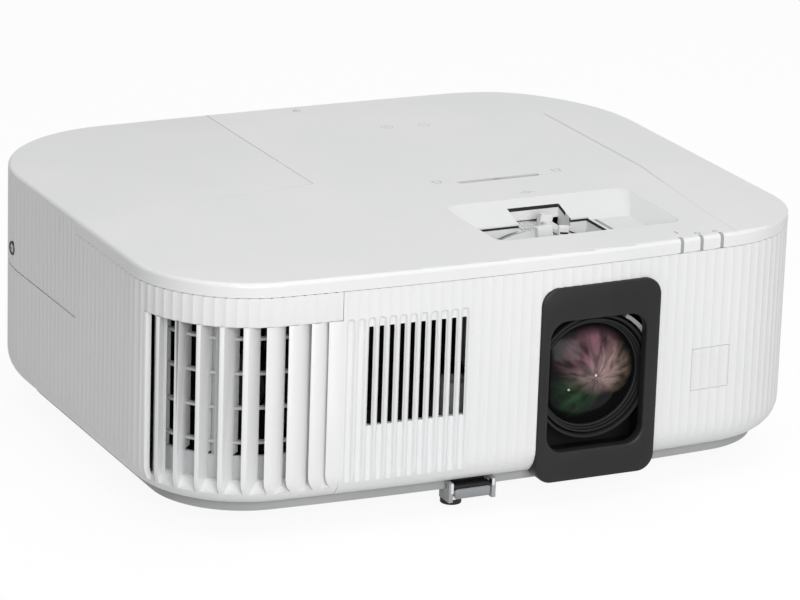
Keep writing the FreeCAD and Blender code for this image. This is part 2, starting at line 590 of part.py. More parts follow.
sleeve_r = barrel_r - 2.0 - running
sleeve = tube(lens_x, lens_front + 12.0, lens_z, sleeve_r, sleeve_r - 2.0, 60.0, AY)
hood = tube(lens_x, lens_front, lens_z, barrel_r - 0.3, 23.2, 10.0, AY)
hood_back = tube(lens_x, lens_front + 9.0, lens_z, barrel_r - 0.3, sleeve_r - 2.0, 6.0, AY)
hood_lip = tube(lens_x, lens_front + 7.0, lens_z, 23.6, 21.5, 2.5, AY)
save("front_lens_cell", join([sleeve, hood, hood_back, hood_lip]))
dome_r = 62.0
glass = cyl(lens_x, lens_front + 1.0, lens_z, 23.2, 6.0, AY)
dome = Part.makeSphere(dome_r, V(lens_x, lens_front + 0.6 + dome_r, lens_z))
save("front_lens", glass.common(dome))


def control_ring(y0, y1, deg, post_half, post_y, sweep0, sweep1):
    """Ring on the barrel that carries a curved shield and a lever post."""
    hub = tube(lens_x, y0 + 12.0, lens_z, barrel_r + 5.0, barrel_r + running, 8.0, AY)
    web = sector(lens_x, lens_z, barrel_r + 4.0, sector_r - 1.0, deg - 20, deg + 20, y0 + 14.0, y0 + 17.0)
    shield = sector(lens_x, lens_z, sector_r - 2.4, sector_r, sweep0, sweep1, y0, y1)
    post_z0 = lens_z + sector_r - 2.0
    post = mid_box(lens_x, post_half, post_y - 1.8, post_y + 1.8, post_z0, lens_z + lever_top_r)
    return join([hub, web, shield, turned(post, lens_x, lens_z, deg)])


focus_ring = control_ring(focus_y0, focus_y1, focus_rest_deg, 3.8, focus_y0 + 13.0, -60, 56)
zoom_hub = tube(lens_x, zoom_y0 + 1.0, lens_z, barrel_r + 5.0, barrel_r + running, 9.0, AY)
web_deg = (zoom_rest_deg - 20, zoom_rest_deg + 20)
zoom_web = sector(lens_x, lens_z, barrel_r + 4.0, sector_r - 1.0, *web_deg, zoom_y0 + 4.0, zoom_y0 + 7.0)
zoom_shield = sector(lens_x, lens_z, sector_r - 2.4, sector_r - 0.8, -50, 50, zoom_y0, zoom_y1)
teeth = []
for i in range(17):
    a = zoom_rest_deg - 12 + 1.5 * i
    tooth_z1 = lens_z + sector_r
    tooth = mid_box(lens_x, 0.45, zoom_y0 + 0.5, zoom_y1 - 2.0, tooth_z1 - 1.2, tooth_z1)
    teeth.append(turned(tooth, lens_x, lens_z, a))
post_z0, post_z1 = lens_z + sector_r - 2.0, lens_z + lever_top_r - 2.0
zoom_post = mid_box(lens_x, 3.2, zoom_y0 + 0.2, zoom_y0 + 3.8, post_z0, post_z1)
zoom_post = turned(zoom_post, lens_x, lens_z, zoom_rest_deg)
save("focus_ring", focus_ring)
save("zoom_ring", join([zoom_hub, zoom_web, zoom_shield, zoom_post] + teeth))

# ---- light engine ----
engine_wall = 2.5
engine_top = lens_z + engine_half_h - 2.0
case_block = box(engine_x0, engine_x1, engine_y0, engine_y1, engine_z0, engine_top)
engine_in = room_in(engine_x0, engine_x1, engine_y0, engine_y1, engine_z0, FAR, engine_wall)
prism_y = engine_y0 + 20.0
engine_in_z = engine_z0 + engine_wall
save("engine_housing", case_block.cut([
    engine_in,
    cyl(lens_x, engine_y0 - 1, lens_z, 15.5, 5, AY),
    box(engine_x0 - 1, engine_x0 + 4, light_y - 14, light_y + 14, lens_z - 14, lens_z + 14),
]))
save("engine_lid", box(engine_x0, engine_x1, engine_y0, engine_y1, engine_top, engine_top + 2.0))


def plate_at(x, y, length, thick, height, deg):
    p = box(-length / 2, length / 2, -thick / 2, thick / 2, engine_in_z, engine_in_z + height)
    p.rotate(V(0, 0, 0), V(0, 0, 1), deg)
    p.translate(V(x, y, 0))
    return p


left_x = engine_x0 + 40.0
right_x = engine_x1 - 15.5
optic_h = lens_z + 16.0 - engine_in_z
save("integrator_plates", group([
    plate_at(engine_x0 + 9.0, light_y, 30.0, 3.0, optic_h, 90),
    plate_at(engine_x0 + 22.0, light_y, 30.0, 3.0, optic_h, 90),
]))
save("dichroic_mirrors", group([
    plate_at(left_x, light_y, 34.0, 1.2, optic_h, 45),
    plate_at(lens_x, light_y, 34.0, 1.2, optic_h, 45),
]))
save("fold_mirrors", group([
    plate_at(left_x, prism_y, 30.0, 1.6, optic_h, -45),
    plate_at(right_x, light_y, 24.0, 1.6, optic_h, -45),
    plate_at(right_x, prism_y, 24.0, 1.6, optic_h, 45),
]))
cube_half = 12.5
cube_y0, cube_y1 = prism_y - cube_half, prism_y + cube_half
save("combining_prism", mid_box(lens_x, cube_half, cube_y0, cube_y1, engine_in_z, lens_z + 13.0))
panel_off = cube_half + 2.2
save("imaging_panels", group([
    plate_at(lens_x - panel_off, prism_y, 24.0, 2.4, optic_h, 90),
    plate_at(lens_x + panel_off, prism_y, 24.0, 2.4, optic_h, 90),
    plate_at(lens_x, prism_y + panel_off, 24.0, 2.4, optic_h, 0),
]))

# ---- lamp module ----
lamp_wall = 2.5
lamp_cy = light_y
lamp_cz = lens_z
shell = box(lamp_x0, lamp_x1, lamp_y0, lamp_y1, lamp_z0, lamp_z1)
shell = shell.cut(room_in(lamp_x0, lamp_x1, lamp_y0, lamp_y1, lamp_z0, lamp_z1 - lamp_wall, lamp_wall))
vents = [box(lamp_x1 - 5, lamp_x1 + 1, lamp_cy - 23, lamp_cy + 23, lamp_cz - 23, lamp_cz + 23)]
for i in range(8):
    x = lamp_x0 + 10 + 8.0 * i
    vents.append(box(x, x + 4, lamp_y0 - 1, lamp_y0 + 5, lamp_cz - 24, lamp_cz + 24))
    vents.append(box(x, x + 4, lamp_y1 - 5, lamp_y1 + 1, lamp_cz - 24, lamp_cz + 24))
handle_post = []
for dx in (-20, 20):
    handle_post.append(mid_box(lamp_x0 + 42 + dx, 2, lamp_cy - 6, lamp_cy + 6, lamp_z1 - 0.5, lamp_z1 + 8))
handle_bar = box(lamp_x0 + 20, lamp_x0 + 64, lamp_cy - 6, lamp_cy + 6, lamp_z1 + 6, lamp_z1 + 8.5)
rim_seat = tube(lamp_x1 - 12.0, lamp_cy, lamp_cz, 30.0, 25.0 + running, 10.0, V(1, 0, 0))
save("lamp_housing", join([shell.cut(vents), handle_bar] + handle_post + [rim_seat]))
save("lamp_window", box(lamp_x1 - 1.5, lamp_x1, lamp_cy - 23, lamp_cy + 23, lamp_cz - 23, lamp_cz + 23))

# ellipsoidal reflector turned about the X axis
bowl_r = 25.0
bowl_len = 34.0
apex_x = lamp_x1 - 4.0 - bowl_len
ell_a = bowl_len + 6.0
outer_pts = []
inner_pts = []
for i in range(13):
    t = math.pi / 2 * i / 12
    outer_pts.append(V(apex_x + ell_a * (1 - math.cos(t)) * 0.85, 0, bowl_r * math.sin(t)))
    deep = ell_a * 0.85 - 2.4
    inner_pts.append(V(apex_x + 2.4 + deep * (1 - math.cos(t)), 0, (bowl_r - 2.0) * math.sin(t)))
curve_out = Part.BSplineCurve()
curve_out.interpolate(outer_pts)
curve_in = Part.BSplineCurve()
curve_in.interpolate(inner_pts)
profile = Part.Wire([
    curve_out.toShape(),
    Part.LineSegment(outer_pts[-1], inner_pts[-1]).toShape(),
    curve_in.toShape(),
    Part.LineSegment(inner_pts[0], outer_pts[0]).toShape(),
])
bowl = Part.Face(profile).revolve(V(0, 0, 0), V(1, 0, 0), 360)
bowl = Part.Solid(bowl) if bowl.ShapeType == "Shell" else bowl
bowl.translate(V(0, lamp_cy, lamp_cz))
neck = cyl(apex_x - 14.0, lamp_cy, lamp_cz, 8.0, 18.0, V(1, 0, 0))
burner_hole = cyl(apex_x - 16.0, lamp_cy, lamp_cz, 4.5, 30.0, V(1, 0, 0))
save("lamp_reflector", join([bowl, neck]).cut(burner_hole))
burner_bulb = [(7.5, 2.4), (9.5, 4.6), (13.0, 5.6), (16.5, 4.6), (18.5, 2.4)]
burner_ends = [(-18.0, 0.0), (-18.0, 4.5), (2.0, 4.5), (2.0, 2.4)]
burner_profile = burner_ends + burner_bulb + [(27.0, 2.4), (27.0, 0.0)]
burner_pts = [V(apex_x + dx, 0, r) for dx, r in burner_profile]
burner = Part.Face(Part.makePolygon(burner_pts + [burner_pts[0]])).revolve(V(0, 0, 0), V(1, 0, 0), 360)
burner.translate(V(0, lamp_cy, lamp_cz))
save("lamp_burner", burner)

# ---- feet ----
stem = cyl(front_foot_x, front_foot_y, 3.0, foot_r, guide_top - 6.0)
for i in range(14):
    z = tray_clearance + 1.0 + 2.6 * i
    stem = stem.cut(tube(front_foot_x, front_foot_y, z, foot_r + 1, foot_r - 0.7, 1.2))
save("front_foot", stem)
save("front_foot_pad", cyl(front_foot_x, front_foot_y, 0, 5.0, 3.0))

lever = box(lever_x0 + 2.2, lever_x1 - 2.2, lever_y - 2.0, lever_y + 1.2, 5.8, wall_z - 0.6)
arm_y1 = front_foot_y - foot_r - 0.4
lever_arm = box(lever_x0 + 2.2, lever_x1 - 2.2, lever_y, arm_y1, lever_z - 0.6, lever_z + 1.4)
lever_axle = cyl(lever_x0 + 0.4, axle_y, axle_z, 1.2, lever_x1 - lever_x0 - 0.8, V(1, 0, 0))
save("foot_release_lever", join([lever, lever_arm, lever_axle]))

for name, p in zip(["left", "right"], rear_foot_pos):
    foot = cyl(p.x, p.y, 0, 9.0, tray_clearance + 0.6)
    screw = cyl(p.x, p.y, 4.0, 3.0, tray_clearance + 4.0)
    save("rear_foot_" + name, join([foot, screw]))
save("ceiling_mount_inserts", group([tube(p.x, p.y, tray_clearance, 3.5, 1.65, 8.0) for p in mount_pos]))
case_screw = []
for p in screw_pos:
    screw_head = cyl(p.x, p.y, tray_clearance + 0.2, 3.0, 1.4)
    case_screw.append(join([screw_head, cyl(p.x, p.y, tray_clearance + 1.0, 1.5, 6.0)]))
save("case_screws", group(case_screw))

# ---- electronics ----
main = box(main_x0, main_x1, main_y0, main_y1, board_z, board_z + board_t)
corner_cut = box(main_x1 - 12, main_x1 + 1, main_y1 - 14, main_y1 + 1, 0, FAR)
chips = []
chip_at = [(18, 20, 24, 2.2), (60, 24, 18, 2.0), (92, 20, 14, 1.6), (82, 42, 12, 1.6), (36, 44, 10, 1.4)]
for cx, cy, s, h in chip_at:
    x, y = main_x0 + cx, main_y0 + cy
    chips.append(box(x - s / 2, x + s / 2, y - s / 2, y + s / 2, board_z + 1.0, board_z + board_t + h))
save("main_board", join([main.cut(corner_cut)] + chips))
sink_x, sink_y = main_x0 + 18.0, main_y0 + 20.0
sink_z = board_z + board_t + 2.2
sink = [box(sink_x - 15, sink_x + 15, sink_y - 14, sink_y + 14, sink_z, sink_z + 3.0)]
for i in range(8):
    x = sink_x - 14.5 + 4.0 * i
    sink.append(box(x, x + 1.2, sink_y - 14, sink_y + 14, sink_z + 2.5, sink_z + 14.0))
save("heat_sink", join(sink))
port_top = board_z + board_t
video = []
for x in port_x:
    shell_v = box(x - 7.6, x + 7.6, ports_y1 - 12.5, ports_y1, port_top, port_top + 6.2)
    cavity = box(x - 7.0, x + 7.0, ports_y1 - 10.0, ports_y1 + 1, port_top + 0.6, port_top + 5.6)
    tongue = box(x - 5.2, x + 5.2, ports_y1 - 10.5, ports_y1 - 2.0, port_top + 2.6, port_top + 3.4)
    video.append(join([shell_v.cut(cavity), tongue]))
save("video_ports", group(video))
shell_d = box(data_x - 6.6, data_x + 6.6, ports_y1 - 14.0, ports_y1, port_top, port_top + 7.2)
cavity_d = box(data_x - 6.0, data_x + 6.0, ports_y1 - 12.0, ports_y1 + 1, port_top + 0.6, port_top + 6.6)
tongue_d = box(data_x - 5.2, data_x + 5.2, ports_y1 - 12.5, ports_y1 - 2.5, port_top + 4.4, port_top + 6.2)
save("data_port", join([shell_d.cut(cavity_d), tongue_d]))
jack_z = port_z + 5.0
jack_block = mid_box(jack_x, 4.5, ports_y1 - 13.0, ports_y1 - 4.2, port_top, port_top + 9.6)
jack = join([jack_block, cyl(jack_x, ports_y1 - 5.0, jack_z, 4.0, 5.0, AY)])
save("audio_jack", jack.cut(cyl(jack_x, ports_y1 - 11.5, jack_z, 1.8, 13, AY)))

inlet_y1 = rear_y - 1.6
inlet = mid_box(inlet_x, 14.0, inlet_y1 - 24.0, inlet_y1, inlet_z0, inlet_z1)
inlet_mouth = mid_box(inlet_x, 12.0, inlet_y1 - 16.0, inlet_y1 + 1, inlet_z0 + 2.8, inlet_z1 - 2.8)
inlet = inlet.cut(edge_round(inlet_mouth, 3.0, "y"))
ears = []
for x in (inlet_x - 14.0, inlet_x + 12.0):
    ears.append(box(x - 3.0, x + 5.0, rear_y - 9.5, rear_y - 5.0, inlet_z0, inlet_z1))
pin_z = (inlet_z0 + inlet_z1) / 2
pin_at = [(-7.0, -1.8), (0.0, 1.8), (7.0, -1.8)]
pins = []
for dx, dz in pin_at:
    z = pin_z + dz
    pins.append(mid_box(inlet_x + dx, 1.0, inlet_y1 - 28.0, inlet_y1 - 4.0, z - 2.0, z + 2.0))
inlet_stand = [box(inlet_x - 8, inlet_x + 8, inlet_y1 - 24.0, inlet_y1 - 18.0, port_top, inlet_z0 + 1.0)]
save("power_inlet", join([inlet] + ears + inlet_stand).cut(pins))
save("inlet_pins", group(pins))

power = [box(power_x0, power_x1, power_y0, power_y1, board_z, board_z + board_t)]
px, py, pz = power_x0, power_y0, board_z + 1.0
power.append(box(px + 5, px + 30, py + 12, py + 42, pz, pz + 28))
power.append(box(px + 7, px + 34, py + 50, py + 54, pz, pz + 30))
for i in range(3):
    power.append(cyl(px + 10, py + 66 + 15 * i, pz, 6.0, 26))
    power.append(cyl(px + 27, py + 66 + 15 * i, pz, 5.0, 20))
save("power_board", join(power))
ballast = [box(ballast_x0, ballast_x1, ballast_y0, ballast_y1, board_z, board_z + board_t)]
bx, by, bz = ballast_x0, ballast_y0, board_z + 1.0
ballast.append(box(bx + 5, bx + 30, by + 12, by + 38, bz, bz + 21))
ballast.append(cyl(bx + 42, by + 16, bz, 6.5, 18))
ballast.append(box(bx + 35, bx + 50, by + 30, by + 42, bz, bz + 13))
save("lamp_ballast", join(ballast))
board_y0, board_y1 = slot_y - 4.5, slot_y + 4.5
save("keystone_board", mid_box(slot_x, 30.5, board_y0, board_y1, slider_board_z - 1.2, slider_board_z))
grip_z = top_z - 2.2
knob_plate = mid_box(slot_x, 4.2, slot_y - 3.4, slot_y + 3.4, slider_board_z, slider_board_z + 2.0)
knob_stem = mid_box(slot_x, 2.2, slot_y - 1.5, slot_y + 1.5, slider_board_z + 1.0, grip_z)
grip_pts = [
    V(slot_x - 4.5, slot_y - 1.6, grip_z),
    V(slot_x + 4.5, slot_y - 1.6, grip_z),
    V(slot_x, slot_y + 1.6, grip_z),
]
grip = Part.Face(Part.makePolygon(grip_pts + [grip_pts[0]])).extrude(V(0, 0, 2.0))
save("keystone_knob", join([knob_plate, knob_stem, grip]))

# ---- fans and speaker ----
def face_fan(shape):
    """Place a shape built facing -X about the origin at the exhaust fan."""
    out = shape.copy()
    out.rotate(V(0, 0, 0), V(0, 0, 1), 45)
    out.translate(V(fan_x, fan_y, fan_z))
    return out


half = fan_size / 2
hub_r = 15.0
blade_r = half - 3.0
frame_box = edge_round(box(-fan_t / 2, fan_t / 2, -half, half, -half, half), 4.0, "x")
frame_box = frame_box.cut(cyl(-fan_t, 0, 0, half - 1.8, 2 * fan_t, AX))
spokes = [cyl(fan_t / 2 - 2.5, 0, 0, hub_r - 1.0, 2.5, AX)]
for i in range(4):
    arm = box(fan_t / 2 - 2.5, fan_t / 2, -2.0, 2.0, hub_r - 3.0, half - 1.0)
    arm.rotate(V(0, 0, 0), AX, 45 + 90 * i)
    spokes.append(arm)
axle = cyl(-2.0, 0, 0, 2.0, fan_t / 2, AX)
save("exhaust_fan_frame", face_fan(join([frame_box, axle] + spokes)))
hub = cyl(-fan_t / 2 + 1.5, 0, 0, hub_r, fan_t - 5.0, AX)
blades = []
for i in range(7):
    b = box(-6.5, 4.5, -0.9, 0.9, hub_r - 2.0, blade_r + 2.0)
    b.rotate(V(0, 0, 0), V(0, 0, 1), 38)
    b.rotate(V(0, 0, 0), AX, 360.0 / 7 * i)
    blades.append(b)
limit = cyl(-fan_t / 2 + 0.8, 0, 0, blade_r, fan_t - 4.2, AX)
rotor = join([hub] + blades).common(limit).cut(cyl(-3.0, 0, 0, 2.0 + running, fan_t, AX))
save("exhaust_fan_rotor", face_fan(rotor))

bz = blower_z0
volute = cyl(blower_x, blower_y, bz, blower_r + 3.0, blower_h)
outlet_y0, outlet_y1 = blower_y + 2.0, blower_y + blower_r + 3.0
outlet_x1 = blower_x + blower_r + 14.0
volute = join([volute, box(blower_x, outlet_x1, outlet_y0, outlet_y1, bz, bz + blower_h)])
volute = volute.cut([
    cyl(blower_x, blower_y, bz + 2.0, blower_r + 1.0, blower_h - 4.0),
    box(blower_x, outlet_x1 + 1.0, outlet_y0 + 2.0, outlet_y1 - 2.0, bz + 2.0, bz + blower_h - 2.0),
    cyl(blower_x, blower_y, bz + 10.0, 18.0, blower_h),
])
blower_axle = cyl(blower_x, blower_y, bz + 1.0, 1.5, 14.0)
save("intake_fan_frame", join([volute, blower_axle]))
wheel = [cyl(blower_x, blower_y, bz + 4.0, 23.0, 1.6), cyl(blower_x, blower_y, bz + 4.0, 10.0, 13.0)]
for i in range(24):
    v = box(-0.5, 0.5, 17.0, 23.5, bz + 5.0, bz + 20.0)
    v.rotate(V(0, 0, 0), V(0, 0, 1), 15 * i)
    v.translate(V(blower_x, blower_y, 0))
    wheel.append(v)
wheel.append(tube(blower_x, blower_y, bz + 18.6, 24.0, 21.0, 1.4))
save("intake_fan_rotor", join(wheel).cut(cyl(blower_x, blower_y, bz, 1.5 + running, 30)))

basket_y = speaker_y1 - 16.0
basket = cyl(speaker_x, basket_y, speaker_z, 13.0, 11.0, AY)
rim = mid_box(speaker_x, 16.0, speaker_y1 - 6.0, speaker_y1 - 3.0, speaker_z - 16.0, speaker_z + 16.0)
magnet = cyl(speaker_x, basket_y - 4.0, speaker_z, 10.0, 5.0, AY)
base = mid_box(speaker_x, 9, speaker_y1 - 24.0, speaker_y1 - 3.0, speaker_z - 20.0, speaker_z - 14.0)
base_neck = mid_box(speaker_x, 6, basket_y, basket_y + 8.0, speaker_z - 15.0, speaker_z - 8.0)
cone = Part.makeCone(5.0, 12.0, 8.0, V(speaker_x, speaker_y1 - 11.0, speaker_z), AY)
save("speaker", join([basket, rim, magnet, base, base_neck]).cut(cone))
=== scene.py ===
import json
import math
import bmesh
import bpy
from mathutils import Matrix, Vector


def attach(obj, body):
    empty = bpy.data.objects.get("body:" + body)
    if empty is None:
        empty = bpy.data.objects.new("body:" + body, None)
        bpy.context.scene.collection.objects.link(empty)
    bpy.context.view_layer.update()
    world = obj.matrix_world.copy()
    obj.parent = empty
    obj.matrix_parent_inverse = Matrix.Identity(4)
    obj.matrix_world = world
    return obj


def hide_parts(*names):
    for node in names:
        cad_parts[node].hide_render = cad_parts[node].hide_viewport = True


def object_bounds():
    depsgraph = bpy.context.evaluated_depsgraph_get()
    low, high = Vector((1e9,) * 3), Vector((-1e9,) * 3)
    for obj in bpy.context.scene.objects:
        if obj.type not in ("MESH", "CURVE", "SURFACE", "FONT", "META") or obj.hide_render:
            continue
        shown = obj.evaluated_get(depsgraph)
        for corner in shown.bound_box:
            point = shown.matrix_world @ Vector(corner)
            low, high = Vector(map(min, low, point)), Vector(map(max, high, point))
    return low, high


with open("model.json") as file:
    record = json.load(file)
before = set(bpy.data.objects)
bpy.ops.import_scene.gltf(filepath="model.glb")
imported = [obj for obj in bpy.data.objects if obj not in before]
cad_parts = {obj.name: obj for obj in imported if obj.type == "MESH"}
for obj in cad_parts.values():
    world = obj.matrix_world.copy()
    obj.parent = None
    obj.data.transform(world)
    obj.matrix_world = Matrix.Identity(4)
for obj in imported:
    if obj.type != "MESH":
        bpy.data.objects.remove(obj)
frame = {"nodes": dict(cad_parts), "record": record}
cad_low, cad_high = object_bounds()
centre = (cad_low + cad_high) / 2
scene = bpy.context.scene
body_of_node = {node: body for body, nodes in frame["record"]["behaviour"]["bodies"].items() for node in nodes}
slot_of_node = {part["node"]: part["material_slot"] for part in frame["record"]["subparts"]}

# ---- case sizes, in metres ----
half_width = 0.1665
front_y, rear_y = -0.137, 0.138
top_z, seam_z, wall_z = 0.122, 0.1153, 0.015
front_corner, rear_corner = 0.0555, 0.0725
front_radius = half_width ** 2 / (2 * 0.0081) + 0.0081 / 2
rear_radius = half_width ** 2 / (2 * 0.0039) + 0.0039 / 2
under_round = 0.014
edge_round = 0.002
wall = 0.0025
hairline = 0.00012
seam_gap = 0.00028
flute_pitch = 0.0051
flute_depth = 0.00034
flute_start = -0.0724
slot_half, groove_half, groove_depth = 0.0011, 0.0017, 0.0017
groove_low, groove_high = 0.0255, 0.1017
slot_low, slot_high = 0.050, 0.097
lens_x, lens_z = 0.0425, 0.0595
glass_reach = 0.0244
cell_front_y = -0.1322
window_x, window_z = (0.09385, 0.11465), (0.04665, 0.06725)
bezel_x, bezel_top = (0.0155, 0.0705), 0.1025
door_y, door_z = (-0.020, 0.060), (0.0325, 0.0925)
screw_y, screw_z = 0.0722, 0.0838
guide_half, guide_places = 0.00172, (0.0844, 0.0951, 0.1062)
mark_proud = 0.000005
weld_distance = 0.000005


# ---- material tools ----
class Wire:
    """A socket that takes part in sums."""

    def __init__(self, tree, socket):
        self.tree, self.socket = tree, socket

    def maths(self, operation, *values):
        return make_node(self.tree, "ShaderNodeMath", {"operation": operation}, dict(enumerate(values)))

    def __add__(self, other):
        return self.maths("ADD", self, other)

    def __sub__(self, other):
        return self.maths("SUBTRACT", self, other)

    def __rsub__(self, other):
        return self.maths("SUBTRACT", other, self)

    def __truediv__(self, other):
        return self.maths("DIVIDE", self, other)

    def __mul__(self, other):
        return self.maths("MULTIPLY", self, other)


def make_node(tree, kind, settings=None, inputs=None, output=0):
    """Any node, its settings first, then the values or links of its sockets."""
    node = tree.nodes.new(kind)
    for name, value in (settings or {}).items():
        if name == "stops":
            ramp = node.color_ramp
            while len(ramp.elements) < len(value):
                ramp.elements.new(0.5)
            for element, (place, colour) in zip(ramp.elements, value):
                element.position = place
                element.color = (*colour, 1)
        else:
            setattr(node, name, value)
    for name, value in (inputs or {}).items():
        if isinstance(value, Wire):
            tree.links.new(value.socket, node.inputs[name])
        else:
            node.inputs[name].default_value = value
    return Wire(tree, node.outputs[output])


def new_finish(name):
    finish = bpy.data.materials.new(name)
    finish.use_nodes = True
    return finish, finish.node_tree, finish.node_tree.nodes["Principled BSDF"]


def join_socket(tree, node, name, value):
    if isinstance(value, Wire):
        tree.links.new(value.socket, node.inputs[name])
    else:
        node.inputs[name].default_value = value


def place_in(tree, scale=(1, 1, 1), place=(0, 0, 0)):
    objects = make_node(tree, "ShaderNodeTexCoord", output="Object")
    return make_node(tree, "ShaderNodeMapping", inputs={"Vector": objects, "Scale": scale, "Location": place})


def speckle(tree, scale, detail=2.0, stretch=(1, 1, 1)):
    where = place_in(tree, stretch)
    return make_node(tree, "ShaderNodeTexNoise", inputs={"Vector": where, "Scale": scale, "Detail": detail})


def moulded(name, dark, light, rough=0.45, grain=1800, lift=0.00004, metal=0.0, coat=0.0, spread=0.06, blotch=14,
            shine=0.5):
    """Moulded or plain stock: a slow change of tone, a fine grain in gloss and relief."""
    finish, tree, shader = new_finish(name)
    tone = make_node(tree, "ShaderNodeValToRGB", {"stops": [(0.35, dark), (0.65, light)]},
                     {"Fac": speckle(tree, blotch, 3.0)})
    fine = speckle(tree, grain, 1.0)
    join_socket(tree, shader, "Base Color", tone)
    join_socket(tree, shader, "Roughness", fine * spread + (rough - spread / 2))
    join_socket(tree, shader, "Normal", make_node(
        tree, "ShaderNodeBump", inputs={"Height": fine, "Distance": lift, "Strength": 0.5}))
    shader.inputs["Metallic"].default_value = metal
    shader.inputs["Coat Weight"].default_value = coat
    shader.inputs["Specular IOR Level"].default_value = shine
    return finish


def white_shell():
    return moulded("white shell", (0.77, 0.775, 0.78), (0.80, 0.80, 0.80), rough=0.42, grain=2200, lift=0.00003)


def coated_glass():
    """Coated front glass: nearly black, with painted reflections in its colour: soft pink, cream and green sweeps, a
    pale glow in the middle, and two small painted lamp glints.
    """
    finish, tree, shader = new_finish("coated glass")
    where = place_in(tree, place=(-lens_x, 0, -lens_z))
    across = make_node(tree, "ShaderNodeSeparateXYZ", inputs={"Vector": where}, output="X") / glass_reach
    up = make_node(tree, "ShaderNodeSeparateXYZ", inputs={"Vector": where}, output="Z") / glass_reach
    reach_squared = across * across + up * up
    reach = across.maths("SQRT", reach_squared)
    spokes = make_node(tree, "ShaderNodeCombineXYZ", inputs={
        "X": across / (reach + 0.05) * 1.7, "Y": up / (reach + 0.05) * 1.7, "Z": reach * 1.1})
    sweep = make_node(tree, "ShaderNodeTexNoise", inputs={
        "Vector": spokes, "Scale": 1.9, "Detail": 2.0, "Distortion": 0.6})
    sweep = sweep.maths("MAXIMUM", (sweep - 0.36) * 2.6, 0.0)

    def patch(side, height, width):
        """1 at a place on the glass, fading to 0 at its width."""
        off_x, off_z = across - side, up - height
        return across.maths("MAXIMUM", 1 - (off_x * off_x + off_z * off_z) / width ** 2, 0.0)

    edge = reach.maths("MINIMUM", reach.maths("MAXIMUM", (0.97 - reach) * 5.0, 0.0), 1.0)
    # The pink, cream and green sweeps and the pale glow in the middle are painted reflections of the surroundings;
    # the two small spots are painted lamp highlights.
    pink = patch(-0.02, 0.46, 0.82) * (sweep + 0.16) * edge
    cream = patch(0.48, 0.14, 0.52) * (sweep + 0.16) * edge
    green = patch(-0.40, -0.30, 0.56) * (sweep + 0.18) * edge
    haze_and_painted_glow = patch(0.10, 0.10, 0.50) * edge
    painted_glint = across.maths("MINIMUM", patch(0.0, 0.06, 0.032) + patch(-0.52, -0.20, 0.028), 1.0)
    painted_reflection_weights = {
        "Red": (0.20, 0.27, 0.018, 0.075),
        "Green": (0.095, 0.20, 0.060, 0.058),
        "Blue": (0.120, 0.15, 0.022, 0.058),
    }
    # Base colour built from the painted reflections and painted highlights over a near-black base.
    tint_and_painted_reflection = make_node(tree, "ShaderNodeCombineColor", inputs={
        name: pink * p + cream * c + green * g + haze_and_painted_glow * h + painted_glint * 0.6 + 0.005
        for name, (p, c, g, h) in painted_reflection_weights.items()})
    join_socket(tree, shader, "Base Color", tint_and_painted_reflection)
    join_socket(tree, shader, "Roughness", sweep * 0.04 + 0.14)
    shader.inputs["Specular IOR Level"].default_value = 0.08
    return finish


def clear_glass(name, tint_and_painted_reflection):
    """Clear stock of ordinary glass, with a very slight haze."""
    light_tint = tuple(min(1.0, c * 1.05) for c in tint_and_painted_reflection)
    finish, tree, shader = new_finish(name)
    haze_and_painted_glow = speckle(tree, 90)
    join_socket(tree, shader, "Base Color", make_node(
        tree, "ShaderNodeValToRGB", {"stops": [(0.3, tint_and_painted_reflection), (0.7, light_tint)]}, {"Fac": haze_and_painted_glow}))
    join_socket(tree, shader, "Roughness", haze_and_painted_glow * 0.03 + 0.01)
    shader.inputs["Transmission Weight"].default_value = 0.9
    shader.inputs["IOR"].default_value = 1.5
    return finish


def circuit_board(name, base, track):
    """Lacquered board: tracks in a slightly lighter tone over the base, square pads."""
    finish, tree, shader = new_finish(name)
    cells = make_node(tree, "ShaderNodeTexVoronoi", {"distance": "MANHATTAN", "feature": "DISTANCE_TO_EDGE"},
                      {"Vector": place_in(tree), "Scale": 260.0})
    mix = make_node(tree, "ShaderNodeValToRGB", {"stops": [(0.04, track), (0.09, base)]}, {"Fac": cells})
    join_socket(tree, shader, "Base Color", mix)
    join_socket(tree, shader, "Roughness", cells * 0.3 + 0.3)
    return finish


def pleated_filter():
    """Grey filter stock with fibres drawn out along one way."""
    finish, tree, shader = new_finish("filter paper")
    fibre = speckle(tree, 900, 4.0, (1, 0.3, 1))
    join_socket(tree, shader, "Base Color", make_node(
        tree, "ShaderNodeValToRGB", {"stops": [(0.3, (0.36, 0.37, 0.36)), (0.7, (0.6, 0.61, 0.6))]}, {"Fac": fibre}))
    join_socket(tree, shader, "Roughness", fibre * 0.1 + 0.85)
    join_socket(tree, shader, "Normal", make_node(
        tree, "ShaderNodeBump", inputs={"Height": fibre, "Distance": 0.0003, "Strength": 0.7}))
    return finish


